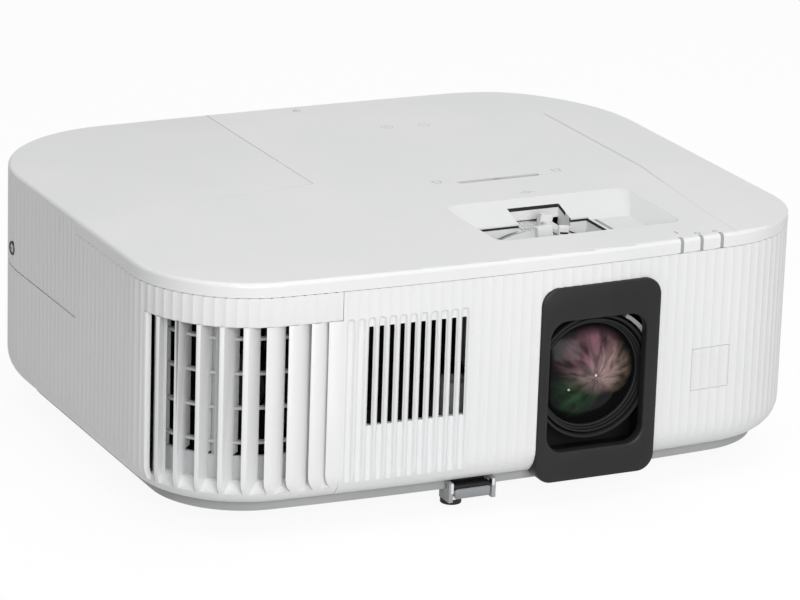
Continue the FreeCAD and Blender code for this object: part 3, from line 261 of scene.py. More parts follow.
finishes = {
    "shell_white": white_shell(),
    "shell_grey": moulded("panel grey", (0.52, 0.525, 0.53), (0.58, 0.585, 0.59), rough=0.5),
    "grille_light_grey": moulded("inner grille", (0.55, 0.56, 0.56), (0.62, 0.625, 0.63), rough=0.5),
    "control_white": moulded("control white", (0.74, 0.745, 0.75), (0.79, 0.79, 0.79), rough=0.38),
    "black_satin": moulded("satin black", (0.012, 0.012, 0.013), (0.018, 0.018, 0.019), rough=0.40, grain=1500,
                           shine=0.25),
    "black_matte": moulded("dull black", (0.007, 0.007, 0.008), (0.013, 0.013, 0.014), rough=0.55, shine=0.25),
    "window_smoke": moulded("window white", (0.75, 0.755, 0.76), (0.79, 0.79, 0.79), rough=0.36, grain=2200,
                            lift=0.00003),
    "light_guide": moulded("light guide", (0.27, 0.28, 0.28), (0.36, 0.37, 0.37), rough=0.25, coat=0.3),
    "board_green": circuit_board("green board", (0.01, 0.09, 0.035), (0.03, 0.2, 0.09)),
    "board_amber": circuit_board("amber board", (0.25, 0.13, 0.04), (0.5, 0.3, 0.1)),
    "steel": moulded("bright steel", (0.48, 0.48, 0.49), (0.6, 0.6, 0.61), rough=0.28, metal=1.0, blotch=120),
    "brass": moulded("turned brass", (0.55, 0.38, 0.14), (0.7, 0.5, 0.2), rough=0.3, metal=1.0, blotch=120),
    "aluminium": moulded("cast aluminium", (0.5, 0.51, 0.52), (0.62, 0.63, 0.64), rough=0.4, metal=1.0, blotch=60),
    "mirror": moulded("mirror", (0.8, 0.8, 0.82), (0.86, 0.86, 0.88), rough=0.06, spread=0.02, metal=1.0,
                      lift=0.000001),
    "port_metal": moulded("plated metal", (0.5, 0.5, 0.51), (0.62, 0.62, 0.63), rough=0.3, metal=1.0, blotch=80),
    "rubber_black": moulded("rubber", (0.012, 0.012, 0.012), (0.022, 0.022, 0.022), rough=0.75, lift=0.00008),
    "lamp_frame": moulded("lamp frame", (0.03, 0.03, 0.03), (0.06, 0.06, 0.06), rough=0.6),
    "button_grey": moulded("button grey", (0.24, 0.25, 0.26), (0.32, 0.33, 0.34), rough=0.36),
    "filter_foam": pleated_filter(),
    "optic_glass": clear_glass("optic glass", (0.9, 0.95, 0.93)),
    "coated_glass": coated_glass(),
}
printed = moulded("printed mark", (0.20, 0.21, 0.22), (0.27, 0.28, 0.29), rough=0.6)
printed_pale = moulded("pale printed mark", (0.45, 0.53, 0.62), (0.52, 0.6, 0.68), rough=0.6)
# A grey darker than the tray's own light grey: painted shade standing in for the shadow under the case.
tray_painted_shade = moulded("tray grey", (0.34, 0.345, 0.35), (0.39, 0.395, 0.40), rough=0.5)
# Grey for the line along the right crease of the top: painted shade where the surface turns.
painted_crease_shade = moulded("soft crease", (0.62, 0.625, 0.63), (0.66, 0.665, 0.67), rough=0.5)
# Near-black for strips that stand in for the shadow inside narrow gaps: painted shadow.
painted_gap_shadow = moulded("shadow gap", (0.006, 0.006, 0.006), (0.012, 0.012, 0.012), rough=0.8)
for node, slot_name in slot_of_node.items():
    surface = frame["nodes"][node].data
    surface.materials.clear()
    # The base tray takes the darker grey, painted shade for the shadow under the case.
    surface.materials.append(tray_painted_shade if node == "base_tray" else finishes[slot_name])


# ---- piece tools ----
def make_piece(name, bm, finish, body="case", stands_for=(), smooth=35):
    """Turn a mesh under work into a named piece on a body, with its finish as its material."""
    bmesh.ops.remove_doubles(bm, verts=bm.verts, dist=weld_distance)
    mesh = bpy.data.meshes.new(name)
    bm.to_mesh(mesh)
    bm.free()
    mesh.materials.append(finish)
    for face in mesh.polygons:
        face.use_smooth = True
    mesh.set_sharp_from_angle(angle=math.radians(smooth))
    piece = bpy.data.objects.new(name, mesh)
    scene.collection.objects.link(piece)
    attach(piece, body)
    for node in stands_for:
        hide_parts(node)
    return piece


def soft_box(bm, low, high, round_by, segments):
    """A block between two corners, its edges rounded."""
    size = Vector(high) - Vector(low)
    middle = (Vector(high) + Vector(low)) / 2
    made = bmesh.ops.create_cube(bm, size=1.0, matrix=Matrix.Translation(middle) @ Matrix.Diagonal((*size, 1)))
    edges = list({edge for vert in made["verts"] for edge in vert.link_edges})
    bmesh.ops.bevel(bm, geom=edges, offset=round_by, segments=segments, affect="EDGES", profile=0.5, material=-1,
                    clamp_overlap=True)


def soften_node(node, width):
    """A frame part with its sharp edges rounded."""
    bm = bmesh.new()
    bm.from_mesh(frame["nodes"][node].data)
    bmesh.ops.remove_doubles(bm, verts=bm.verts, dist=weld_distance)
    bmesh.ops.dissolve_limit(bm, angle_limit=math.radians(2), verts=bm.verts, edges=bm.edges)
    piece = make_piece(node + "_soft", bm, finishes[slot_of_node[node]], body_of_node[node], stands_for=[node])
    add_soft_edges(piece, width, 40)


def add_soft_edges(piece, width, angle):
    """Round every edge that turns by more than an angle in degrees."""
    soften = piece.modifiers.new("soft edges", "BEVEL")
    soften.width, soften.segments = width, 2
    soften.limit_method, soften.angle_limit = "ANGLE", math.radians(angle)


def turned_profile(bm, profile):
    """Spin a profile of (radius, y) points round the lens axis."""
    verts = [bm.verts.new((lens_x + radius, y, lens_z)) for radius, y in profile]
    edges = [bm.edges.new(pair) for pair in zip(verts, verts[1:])]
    bmesh.ops.spin(bm, geom=verts + edges, cent=(lens_x, 0, lens_z), axis=(0, 1, 0), angle=math.tau,
                   steps=96, use_merge=True)


def close_and_face_out(bm):
    bmesh.ops.remove_doubles(bm, verts=bm.verts, dist=weld_distance)
    bmesh.ops.recalc_face_normals(bm, faces=bm.faces)


# ---- the case outline in plan ----
front_centre_y = front_y + front_radius
rear_centre_y = rear_y - rear_radius
corner_x, rear_corner_x = half_width - front_corner, half_width - rear_corner
corner_y = front_centre_y - math.sqrt((front_radius - front_corner) ** 2 - corner_x ** 2)
rear_corner_y = rear_centre_y + math.sqrt((rear_radius - rear_corner) ** 2 - rear_corner_x ** 2)
front_turn = math.atan2(corner_y - front_centre_y, corner_x)
rear_turn = math.atan2(rear_corner_y - rear_centre_y, rear_corner_x)
front_run = front_radius * (math.pi / 2 + front_turn)
corner_run = front_run - front_corner * front_turn
side_run = corner_run + rear_corner_y - corner_y
rear_run = side_run + rear_corner * rear_turn
whole_run = rear_run + rear_radius * (math.pi / 2 - rear_turn)


def round_the_case(run):
    """Point and outward direction on the plan outline, at a length along it from the middle of the front."""
    side = 1 if run >= 0 else -1
    run = abs(run)
    if run < front_run:
        angle = run / front_radius - math.pi / 2
        middle, radius = Vector((0, front_centre_y, 0)), front_radius
    elif run < corner_run:
        angle = front_turn + (run - front_run) / front_corner
        middle, radius = Vector((corner_x, corner_y, 0)), front_corner
    elif run < side_run:
        return Vector((side * half_width, corner_y + run - corner_run, 0)), Vector((side, 0, 0))
    elif run < rear_run:
        angle = (run - side_run) / rear_corner
        middle, radius = Vector((rear_corner_x, rear_corner_y, 0)), rear_corner
    else:
        angle = rear_turn + (run - rear_run) / rear_radius
        middle, radius = Vector((0, rear_centre_y, 0)), rear_radius
    outward = Vector((math.cos(angle), math.sin(angle), 0))
    place = middle + outward * radius
    return Vector((side * place.x, place.y, 0)), Vector((side * outward.x, outward.y, 0))


def run_on_front(x):
    return math.copysign(front_radius * math.asin(abs(x) / front_radius), x)


def run_on_corner(y, side):
    return side * (front_run + front_corner * (math.asin((y - corner_y) / front_corner) - front_turn))


def run_on_side(y, side):
    return side * (corner_run + y - corner_y)


def run_on_rear(x):
    return math.copysign(whole_run - rear_radius * math.asin(abs(x) / rear_radius), x)


first_groove, last_groove, slot_count = -2, 9, 10
flute_steps = (0.0, 0.12, 0.3, 0.5, 0.7, 0.88)
groove_steps = (-0.00255, -0.0022, -groove_half, -0.0016, -slot_half, -0.0008, 0.0, 0.0008, slot_half, 0.0016,
                groove_half, 0.0022)


def wall_columns(start, end, stops=()):
    """Runs at which a fluted wall has an upright line of points."""
    columns = set()
    first = math.floor((start - flute_start) / flute_pitch) - 1
    last = math.ceil((end - flute_start) / flute_pitch) + 1
    for number in range(first, last + 1):
        middle = flute_start + number * flute_pitch
        if first_groove <= number <= last_groove:
            columns.update(middle + step for step in groove_steps)
        else:
            columns.update(middle + (step - 0.5) * flute_pitch for step in flute_steps)
    fixed = [start, end, *stops]
    columns = [run for run in columns if start < run < end and min(abs(run - stop) for stop in fixed) > 0.00025]
    return sorted(columns + fixed)


def relief(run, height):
    """How deep the flutes and the slot field lie under the wall's outer face."""
    fade = min(1.0, max(0.0, (height - 0.0185) / 0.010))
    place = (run - flute_start) / flute_pitch + 0.5
    number, across = math.floor(place), place - math.floor(place)
    depth = flute_depth * (1 - (2 * across - 1) ** 2) * fade * fade * (3 - 2 * fade)
    if first_groove <= number <= last_groove:
        off = abs(across - 0.5) * flute_pitch
        reach = groove_half * 1.02
        tip = 0.0022
        ends = min(height - groove_low, groove_high - height)
        if ends > 0 and off < reach:
            spread = math.sqrt(1 - (1 - min(1.0, ends / tip)) ** 2)
            if off < reach * spread + 1e-9:
                bowl = math.sqrt(max(0.0, 1 - (off / (reach * max(spread, 0.01))) ** 2))
                depth = max(depth, groove_depth * spread * bowl ** 0.7)
    return depth


def wall_place(run, level):
    """Point of the outer wall; level is the height, and below the start of the under curve goes on along it."""
    place, outward = round_the_case(run)
    if level > top_z - edge_round:
        angle = (level - (top_z - edge_round)) / edge_round
        inset, height = edge_round * (1 - math.cos(angle)), top_z - edge_round + edge_round * math.sin(angle)
        return place - outward * inset + Vector((0, 0, height))
    bend_z = wall_z + under_round
    if level >= bend_z:
        depth = relief(run, level)
        return place - outward * depth + Vector((0, 0, level))
    angle = (bend_z - level) / under_round
    height = bend_z - under_round * math.sin(angle)
    inset = under_round * (1 - math.cos(angle))
    depth = relief(run, height)
    place = place - outward * (inset + depth * math.cos(angle))
    return place + Vector((0, 0, height + depth * math.sin(angle)))


under_rows = [wall_z + under_round * (1 - math.pi / 2 * step / 8) for step in range(9)]


def fluted_wall(bm, start, end, rows, stops=(), openings=()):
    """A stretch of moulded wall with upright flutes; openings are (run, run, low, high) and are left out."""
    columns = wall_columns(start, end, stops)
    rows = sorted(set(rows))
    grid = bmesh.ops.create_grid(bm, x_segments=len(columns) - 1, y_segments=len(rows) - 1, size=0.5)["verts"]
    marks = {}
    for vert in grid:
        column = columns[round((vert.co.x + 0.5) * (len(columns) - 1))]
        row = rows[round((vert.co.y + 0.5) * (len(rows) - 1))]
        marks[vert] = (column, row)
        vert.co = wall_place(column, row)
    gone = []
    for face in {face for vert in grid for face in vert.link_faces}:
        run = sum(marks[vert][0] for vert in face.verts) / 4
        level = sum(marks[vert][1] for vert in face.verts) / 4
        if any(a < run < b and low < level < high for a, b, low, high in openings):
            gone.append(face)
    bmesh.ops.delete(bm, geom=gone, context="FACES")
    return marks


def thicken(bm, depth=wall):
    """Give a wall its thickness, inward from the outer face."""
    close_and_face_out(bm)
    middle = Vector((0, 0, 0.06))
    sample = max(bm.faces, key=lambda face: face.calc_area())
    if sample.normal.dot(sample.calc_center_median() - middle) < 0:
        bmesh.ops.reverse_faces(bm, faces=bm.faces)
    bmesh.ops.solidify(bm, geom=bm.faces, thickness=depth)


exhaust_front = run_on_front(-0.0866)
exhaust_side = run_on_corner(-0.0914, -1)
lamp_side = run_on_side(-0.0122, -1)
left_rear = run_on_rear(-0.095)
lamp_rear = run_on_rear(-0.0385)
right_split = run_on_side(-0.060, 1)
right_rear = run_on_rear(0.095)
lamp_low = 0.0742


def front_panel():
    """Front wall with its flutes, its row of slots, and the openings for the window and the lens surround."""
    bm = bmesh.new()
    window = [run_on_front(x) for x in window_x]
    bezel = [run_on_front(x) for x in bezel_x]
    openings = [(*window, *window_z), (*bezel, 0.0, bezel_top)]
    for number in range(slot_count):
        middle = flute_start + flute_pitch * number
        openings.append((middle - slot_half, middle + slot_half, slot_low, slot_high))
    rows = [seam_z - seam_gap, 0.1045, bezel_top, *window_z, slot_low, slot_high, 0.08, 0.06, 0.035]
    rows += [groove_high - drop for drop in (-0.0004, 0.0, 0.0002, 0.0006, 0.0012, 0.0022)]
    rows += [0.031] + under_rows
    fluted_wall(bm, exhaust_front + hairline, right_split - hairline, rows, [*window, *bezel], openings)
    thicken(bm)
    make_piece("front_wall", bm, finishes["shell_white"], stands_for=["front_panel"], smooth=19)


def receiver_window():
    """Window of the remote receiver, fluted like the wall round it."""
    bm = bmesh.new()
    fluted_wall(bm, run_on_front(0.09405), run_on_front(0.11445), [0.04685, 0.057, 0.06705])
    thicken(bm)
    make_piece("receiver_pane", bm, finishes["window_smoke"], stands_for=["receiver_window"], smooth=19)


def side_panels():
    """Left wall, low under the lamp cover, and right wall with the opening for the filter door."""
    bm = bmesh.new()
    upper = [seam_z - seam_gap, lamp_low - seam_gap, 0.05] + under_rows
    fluted_wall(bm, lamp_side + hairline, exhaust_side - hairline, upper)
    fluted_wall(bm, left_rear + hairline, lamp_side + hairline, upper[1:])
    thicken(bm)
    make_piece("left_wall", bm, finishes["shell_white"], stands_for=["left_side_panel"], smooth=19)
    bm = bmesh.new()
    door = [run_on_side(y, 1) for y in door_y]
    rows = [seam_z - seam_gap, *door_z] + under_rows
    fluted_wall(bm, right_split + hairline, right_rear - hairline, rows, door, [(*door, *door_z)])
    thicken(bm)
    make_piece("right_wall", bm, finishes["shell_white"], stands_for=["right_side_panel"], smooth=19)


def filter_cover():
    """Door over the air filter, with nine louvres."""
    bm = bmesh.new()
    start, end = run_on_side(-0.0197, 1), run_on_side(0.0597, 1)
    louvre_start, louvre_end = run_on_side(-0.011, 1), run_on_side(0.051, 1)
    louvres = [(0.0395 + 0.0055 * number, 0.0419 + 0.0055 * number) for number in range(9)]
    rows = [0.0328, 0.0922] + [z for pair in louvres for z in pair]
    openings = [(louvre_start, louvre_end, low, high) for low, high in louvres]
    fluted_wall(bm, start, end, rows, (louvre_start, louvre_end), openings)
    thicken(bm)
    make_piece("filter_door", bm, finishes["shell_white"], "air_filter_door", stands_for=["air_filter_cover"],
               smooth=19)


def lamp_cover():
    """Side with flutes up to the rounded top edge, and the flat top up to its two seams."""
    bm = bmesh.new()
    rim = [top_z - edge_round + edge_round * math.pi / 2 * step / 4 for step in range(5)]
    marks = fluted_wall(bm, lamp_rear + hairline, lamp_side - hairline, [lamp_low + 0.0003, 0.095, 0.1175] + rim)
    last = rim[-1]
    edge = sorted((vert for vert in marks if abs(marks[vert][1] - last) < 1e-7), key=lambda vert: marks[vert][0])
    inner = bm.verts.new((-0.0385, 0.0058, top_z))
    bm.faces.new(edge + [inner])
    thicken(bm)
    make_piece("lamp_cover_shell", bm, finishes["shell_white"], body_of_node["lamp_cover"],
               stands_for=["lamp_cover"], smooth=19)


def painted_screw_shadow():
    """Black ring round the lamp cover's screw: painted shadow for the shade in the hole that the screw sits in."""
    bm = bmesh.new()
    low_x, high_x = -half_width + 0.00002, -half_width + 0.0006
    inner, outer = 0.0022, 0.0034
    corners = [bm.verts.new((x, screw_y, screw_z + radius)) for x, radius in (
        (low_x, inner), (low_x, outer), (high_x, outer), (high_x, inner))]
    bmesh.ops.spin(bm, geom=[bm.faces.new(corners)], cent=(0, screw_y, screw_z), axis=(1, 0, 0), angle=math.tau,
                   steps=40, use_merge=True)
    close_and_face_out(bm)
    make_piece("lamp_cover_screw_seat", bm, finishes["black_matte"], body_of_node["lamp_cover"])


band_low, band_lip = 0.1012, 0.0008
vane_pitch = 0.0108
first_vane = run_on_front(-0.0913) - 0.0083


def exhaust_vanes():
    """The slanted vanes and the sill, taken from the frame and cut off under the band."""
    bm = bmesh.new()
    bm.from_mesh(frame["nodes"]["exhaust_cover"].data)
    bmesh.ops.remove_doubles(bm, verts=bm.verts, dist=weld_distance)
    bmesh.ops.bisect_plane(bm, geom=bm.verts[:] + bm.edges[:] + bm.faces[:], plane_co=(0, 0, band_low + 0.00028),
                           plane_no=(0, 0, 1), clear_outer=True)
    vanes = make_piece("exhaust_vanes", bm, finishes["shell_white"], stands_for=["exhaust_cover"], smooth=30)
    add_soft_edges(vanes, 0.0004, 50)


def turned_block(bm, size, turn, place):
    """An upright block of a size, turned about the vertical, its middle at a place."""
    box = bmesh.ops.create_cube(bm, size=1.0)["verts"]
    bmesh.ops.scale(bm, vec=size, verts=box)
    bmesh.ops.rotate(bm, verts=box, cent=(0, 0, 0), matrix=Matrix.Rotation(turn, 3, "Z"))
    bmesh.ops.translate(bm, verts=box, vec=place)


def exhaust_vane_backs():
    """Plates that deepen four of the vanes, and one plate behind the bay beside the left wall."""
    bm = bmesh.new()
    for steps_on in range(4, 8):
        place = round_the_case(first_vane - vane_pitch * steps_on)[0]
        turn = math.radians(min(65.0, 68.5 - 3.5 * steps_on))
        along = Vector((math.sin(turn), math.cos(turn), 0))
        middle = Vector((place.x, place.y, 0.0705)) + along * 0.0118
        turned_block(bm, (0.0055, 0.0016, 0.0640), math.pi / 2 - turn, middle)
    lip_run, vane_run = run_on_side(-0.0921, -1), first_vane - vane_pitch * 7
    place, outward = round_the_case((lip_run + vane_run) / 2)
    turn = math.atan2(outward.y, outward.x) + math.pi / 2
    middle = Vector((place.x, place.y, 0.0620)) - outward * 0.0062
    turned_block(bm, (abs(vane_run - lip_run) - 0.0008, 0.0010, 0.0790), turn, middle)
    backs = make_piece("exhaust_vane_backs", bm, finishes["shell_white"], smooth=30)
    add_soft_edges(backs, 0.0003, 50)


def exhaust_band():
    """Fluted band over the vanes, its lower edge rounded."""
    bm = bmesh.new()
    marks = fluted_wall(bm, exhaust_side + hairline, exhaust_front - hairline, [
        seam_z - seam_gap, band_low + band_lip, band_low + band_lip * 0.5, band_low + band_lip * 0.15, band_low])
    for vert, (run, level) in marks.items():
        rise = band_low + band_lip - level
        if rise > 0:
            vert.co -= round_the_case(run)[1] * (band_lip - math.sqrt(max(0.0, band_lip ** 2 - rise ** 2)))
    thicken(bm, 0.008)
    make_piece("exhaust_band", bm, finishes["shell_white"], smooth=19)


def corner_turns(plate, outline, radius):
    """For each point of a rounded plate: its corner, and its direction from the middle of that corner's round."""
    x0, x1, z0, z1 = outline
    turns = {}
    for vert in plate.verts:
        side_x = 1 if vert.co.x > (x0 + x1) / 2 else -1
        side_z = 1 if vert.co.z > (z0 + z1) / 2 else -1
        pivot = Vector((x1 - radius if side_x > 0 else x0 + radius, 0, z1 - radius if side_z > 0 else z0 + radius))
        away = Vector((vert.co.x, 0, vert.co.z)) - pivot
        turns[vert] = (side_x, side_z, away.normalized())
    return turns


def extrude_plate(bm, plate, turns):
    """Extrude a plate without moving it and drop the old one; returns the new plate and its corner turns."""
    made = bmesh.ops.extrude_face_region(bm, geom=[plate])["geom"]
    old_verts = list(plate.verts)
    new_turns = {}
    for vert in (item for item in made if isinstance(item, bmesh.types.BMVert)):
        twin = min(old_verts, key=lambda other: (other.co - vert.co).length_squared)
        new_turns[vert] = turns[twin]
    if plate.is_valid:
        bmesh.ops.delete(bm, geom=[plate], context="FACES_ONLY")
    return next(item for item in made if isinstance(item, bmesh.types.BMFace)), new_turns


def lens_bezel():
    """Rounded black surround: a plate with softened outer and inner edges, and a deep inner wall."""
    bm = bmesh.new()
    face_y = front_y - 0.001
    outer = (0.012, 0.074, 0.0115, 0.106)
    hole = (0.0174, 0.0671, 0.0260, 0.0894)
    steps = [
        (outer, 0.0, 0.0085, front_y + 0.009),
        (outer, 0.0, 0.0085, face_y + 0.0009),
        (outer, 0.00025, 0.0083, face_y + 0.0003),
        (outer, 0.0008, 0.0078, face_y),
        (hole, -0.0012, 0.0100, face_y),
        (hole, -0.0004, 0.0092, face_y + 0.0003),
        (hole, 0.0, 0.0088, face_y + 0.0010),
        (hole, 0.0, 0.0088, front_y + 0.0040),
    ]
    (x0, x1, z0, z1), _, radius, y = steps[0]
    corners = [bm.verts.new((x, y, z)) for x, z in ((x0, z0), (x1, z0), (x1, z1), (x0, z1))]
    bm.faces.new(corners)
    bmesh.ops.bevel(bm, geom=corners, offset=radius, segments=12, affect="VERTICES", profile=0.5, material=-1)
    plate = bm.faces[:][0]
    for vert in plate.verts:
        vert.co.y = y
    turns = corner_turns(plate, outer, radius)
    for (x0, x1, z0, z1), inset, radius, y in steps:
        plate, turns = extrude_plate(bm, plate, turns)
        for vert, (side_x, side_z, away) in turns.items():
            edge_x = x1 - inset - radius if side_x > 0 else x0 + inset + radius
            edge_z = z1 - inset - radius if side_z > 0 else z0 + inset + radius
            vert.co = Vector((edge_x, y, edge_z)) + away * radius
    bmesh.ops.delete(bm, geom=[plate], context="FACES_ONLY")
    close_and_face_out(bm)
    make_piece("lens_surround", bm, finishes["black_satin"], stands_for=["lens_bezel"], smooth=50)


def lens_rings():
    """Fixed outer ring, and the stepped black cell inside it."""
    front = cell_front_y
    bm = bmesh.new()
    turned_profile(bm, [
        (0.0301, -0.120), (0.0301, front + 0.0002), (0.0298, front - 0.0002), (0.0289, front - 0.0002),
        (0.0286, front + 0.0002), (0.0284, front + 0.0008), (0.0284, -0.120)])
    close_and_face_out(bm)
    make_piece("lens_outer_ring", bm, finishes["black_matte"], smooth=30)
    bm = bmesh.new()
    turned_profile(bm, [
        (0.0277, -0.118), (0.0277, front + 0.0014), (0.0274, front + 0.0010), (0.0266, front + 0.0010),
        (0.0264, front + 0.0016), (0.0263, front + 0.0024), (0.0258, front + 0.0025), (0.0256, front + 0.0030),
        (0.0254, front + 0.0036), (0.0247, front + 0.0038), (0.0245, front + 0.0044), (glass_reach, front + 0.0060),
        (glass_reach, -0.118)])
    close_and_face_out(bm)
    make_piece("lens_cell_rings", bm, finishes["black_matte"], body_of_node["front_lens_cell"],
               stands_for=["front_lens_cell"], smooth=30)


def front_glass():
    """Domed front glass with a straight rim."""
    bm = bmesh.new()
    dome, reach = 0.040, glass_reach - 0.0001
    crown = cell_front_y + 0.0046 - (dome - math.sqrt(dome ** 2 - reach ** 2))
    profile = [(reach, cell_front_y + 0.0140)]
    for step in range(17):
        radius = reach * (1 - step / 16)
        profile.append((radius, crown + dome - math.sqrt(dome ** 2 - radius ** 2)))
    turned_profile(bm, profile)
    close_and_face_out(bm)
    make_piece("front_glass", bm, finishes["coated_glass"], body_of_node["front_lens_cell"],
               stands_for=["front_lens"], smooth=30)


def lens_tunnel():
    """Dark back plate and four side walls round the lens, inside the surround."""
    bm = bmesh.new()
    back_y = front_y + 0.0220
    soft_box(bm, (0.0130, front_y + 0.0212, 0.0210), (0.0730, back_y, 0.0940), 0.0002, 1)
    for x0, x1, z0, z1 in ((0.0125, 0.0130, 0.0200, 0.0950), (0.0730, 0.0735, 0.0200, 0.0950),
                           (0.0125, 0.0735, 0.0200, 0.0210), (0.0125, 0.0735, 0.0940, 0.0950)):
        soft_box(bm, (x0, front_y + 0.003, z0), (x1, back_y, z1), 0.0002, 1)
    make_piece("lens_tunnel", bm, finishes["black_matte"])


def lens_painted_reflection_arc():
    """Short grey arc beside the outer ring: a painted reflection on the dark wall round the lens."""
    bm = bmesh.new()
    inner, outer = 0.0312, 0.0330
    near_y, far_y = cell_front_y - 0.0008, cell_front_y + 0.0030
    profile = [(inner, near_y), (inner, far_y), (outer, far_y), (outer, near_y)]
    start = Matrix.Rotation(math.radians(30), 3, "Y")
    corners = [bm.verts.new(start @ Vector((0, y, radius)) + Vector((lens_x, 0, lens_z))) for radius, y in profile]
    bmesh.ops.spin(bm, geom=[bm.faces.new(corners)], cent=(lens_x, 0, lens_z), axis=(0, 1, 0),
                   angle=math.radians(28), steps=14)
    close_and_face_out(bm)
    make_piece("lens_painted_reflection_arc", bm, finishes["button_grey"])


def lever_foot():
    """Release lever of the front foot: grey bar, a black plate behind and over its top as painted shade for the
    shadow under the case's overhang, and pale ears at both ends; a black sheet behind it is painted shadow in its
    slot.
    """
    body = body_of_node["foot_release_lever"]
    bm = bmesh.new()
    soft_box(bm, (-0.0252, -0.1300, 0.0062), (-0.0062, -0.1240, 0.0116), 0.0018, 4)
    make_piece("foot_lever_bar", bm, finishes["button_grey"], body, stands_for=["foot_release_lever"])
    bm = bmesh.new()
    # Black plate: painted shade for the shadow that the case's overhang casts on the lever's top.
    soft_box(bm, (-0.0250, -0.1292, 0.0104), (-0.0066, -0.1240, 0.0132), 0.0006, 2)
    make_piece("foot_lever_painted_shade", bm, finishes["black_matte"], body)
    bm = bmesh.new()
    for low, high in (((-0.0272, -0.1298, 0.0092), (-0.0256, -0.1262, 0.0144)),
                      ((-0.0060, -0.1298, 0.0110), (-0.0045, -0.1262, 0.0144)),
                      ((-0.0275, -0.1290, 0.0060), (-0.0240, -0.1262, 0.0078))):
        soft_box(bm, low, high, 0.0005, 2)
    make_piece("foot_lever_ears", bm, finishes["control_white"], body)
    bm = bmesh.new()
    # Black sheet behind the lever: painted shadow in the slot it sits in.
    soft_box(bm, (-0.0250, -0.1226, 0.0100), (-0.0066, -0.1217, 0.0149), 0.0002, 1)
    make_piece("foot_lever_slot_painted_shadow", bm, finishes["black_matte"])


def guide_block(bm, low, high):
    """A block between two corners, its upper front edge rounded over."""
    box = bmesh.ops.create_cube(bm, size=1.0)["verts"]
    for vert in box:
        vert.co = (low + high) / 2 + Vector([vert.co[k] * (high - low)[k] for k in range(3)])
    brow = [edge for edge in bm.edges if edge.verts[0] in box and all(
        abs(end.co.y - low.y) < 1e-7 and abs(end.co.z - high.z) < 1e-7 for end in edge.verts)]
    bmesh.ops.bevel(bm, geom=brow, offset=0.002, segments=5, affect="EDGES", profile=0.5, material=-1)


def light_guides():
    """Ends of the three light guides, bent over the front edge of the top, each set in a pale surround."""
    surround, strips = bmesh.new(), bmesh.new()
    for x in guide_places:
        face_y = front_centre_y - math.sqrt(front_radius ** 2 - x ** 2)
        for bm, low_x, high_x, proud, length in (
                (surround, x - guide_half, x + guide_half, -0.00008, 0.0092),
                (strips, x + 0.00005, x + 0.00165, 0.0, 0.0034)):
            low = Vector((low_x, face_y - proud + 0.00006, seam_z + 0.0001))
            high = Vector((high_x, face_y + length, top_z + proud + 0.000004))
            guide_block(bm, low, high)
    make_piece("light_guide_surround", surround, finishes["shell_white"])
    make_piece("light_guide_ends", strips, finishes["light_guide"], stands_for=["indicator_light_guide"])


def gap_strip(bm, start, end, drop):
    """A thin upright strip between two points, reaching down by its drop."""
    start, end = Vector(start), Vector(end)
    middle = (start + end) / 2 - Vector((0, 0, drop / 2))
    along = end - start
    flat = Vector((along.x, along.y, 0)).normalized()
    across = Vector((-flat.y, flat.x, 0))
    for vert in bmesh.ops.create_cube(bm, size=1.0)["verts"]:
        vert.co = middle + along * vert.co.x + across * vert.co.y * 0.0003 + Vector((0, 0, vert.co.z * drop))


def recess_gap_shadows():
    """Black strips round the lever cut-outs, painted shadow standing in for the shade inside the gaps there, and the
    printed scale beside them.
    """
    bm = bmesh.new()
    gaps = [
        ((0.0340, -0.0565, 0.1197), (0.0612, -0.0565, 0.1197), 0.0017),
        ((0.06150, -0.0565, 0.1197), (0.06150, -0.0638, 0.11742), 0.0017),
        ((0.06150, -0.0682, 0.11605), (0.06150, -0.0690, 0.1158), 0.0017),
        ((0.0612, -0.0692, 0.1150), (0.0704, -0.0692, 0.1150), 0.0010),
        ((0.0704, -0.0692, 0.1150), (0.0704, -0.1032, 0.1150), 0.0013),
        ((0.0101, -0.0692, 0.1150), (0.0340, -0.0692, 0.1150), 0.0010),
    ]
    for start, end, drop in gaps:
        gap_strip(bm, start, end, drop)
    make_piece("recess_gap_shadows", bm, painted_gap_shadow)
    bm = bmesh.new()
    soft_box(bm, (0.0722, -0.1030, 0.11490), (0.0741, -0.0722, 0.11512), 0.00005, 1)
    make_piece("recess_scale", bm, finishes["button_grey"])


def zoom_arm():
    """Finger piece of the zoom lever, reaching forward over the shield."""
    bm = bmesh.new()
    low_x, high_x, low_z = lens_x - 0.0028, lens_x + 0.0028, lens_z + 0.0545
    soft_box(bm, (low_x, -0.0862, low_z), (high_x, -0.0648, lens_z + 0.0565), 0.0005, 2)
    soft_box(bm, (low_x, -0.0862, low_z), (high_x, -0.0836, lens_z + 0.0590), 0.0006, 2)
    bmesh.ops.rotate(bm, verts=bm.verts, cent=(lens_x, 0, lens_z), matrix=Matrix.Rotation(math.radians(7), 3, "Y"))
    make_piece("zoom_finger_piece", bm, finishes["control_white"], body_of_node["zoom_ring"])


def ring_mark(name, place, radius, thick, finish, gap_turn=0.0):
    """A small printed ring on the top."""
    bm = bmesh.new()
    verts = [bm.verts.new((place[0] + r, place[1], top_z + mark_proud)) for r in (radius - thick, radius)]
    edge = bm.edges.new(verts)
    bmesh.ops.spin(bm, geom=verts + [edge], cent=(place[0], place[1], 0), axis=(0, 0, 1),
                   angle=math.tau - gap_turn, steps=28, use_merge=gap_turn == 0)
    close_and_face_out(bm)
    make_piece(name, bm, finish)


def line_mark(name, points, thick, finish):
    """Strokes on the top between pairs of points: printed marks, and the painted shade of the right crease."""
    bm = bmesh.new()
    level = top_z + mark_proud
    for start, end in points:
        start, end = Vector((*start, level)), Vector((*end, level))
        along = (end - start).normalized()
        across = Vector((-along.y, along.x, 0)) * thick / 2
        bm.faces.new([bm.verts.new(start - across), bm.verts.new(end - across), bm.verts.new(end + across),
                      bm.verts.new(start + across)])
    make_piece(name, bm, finish)


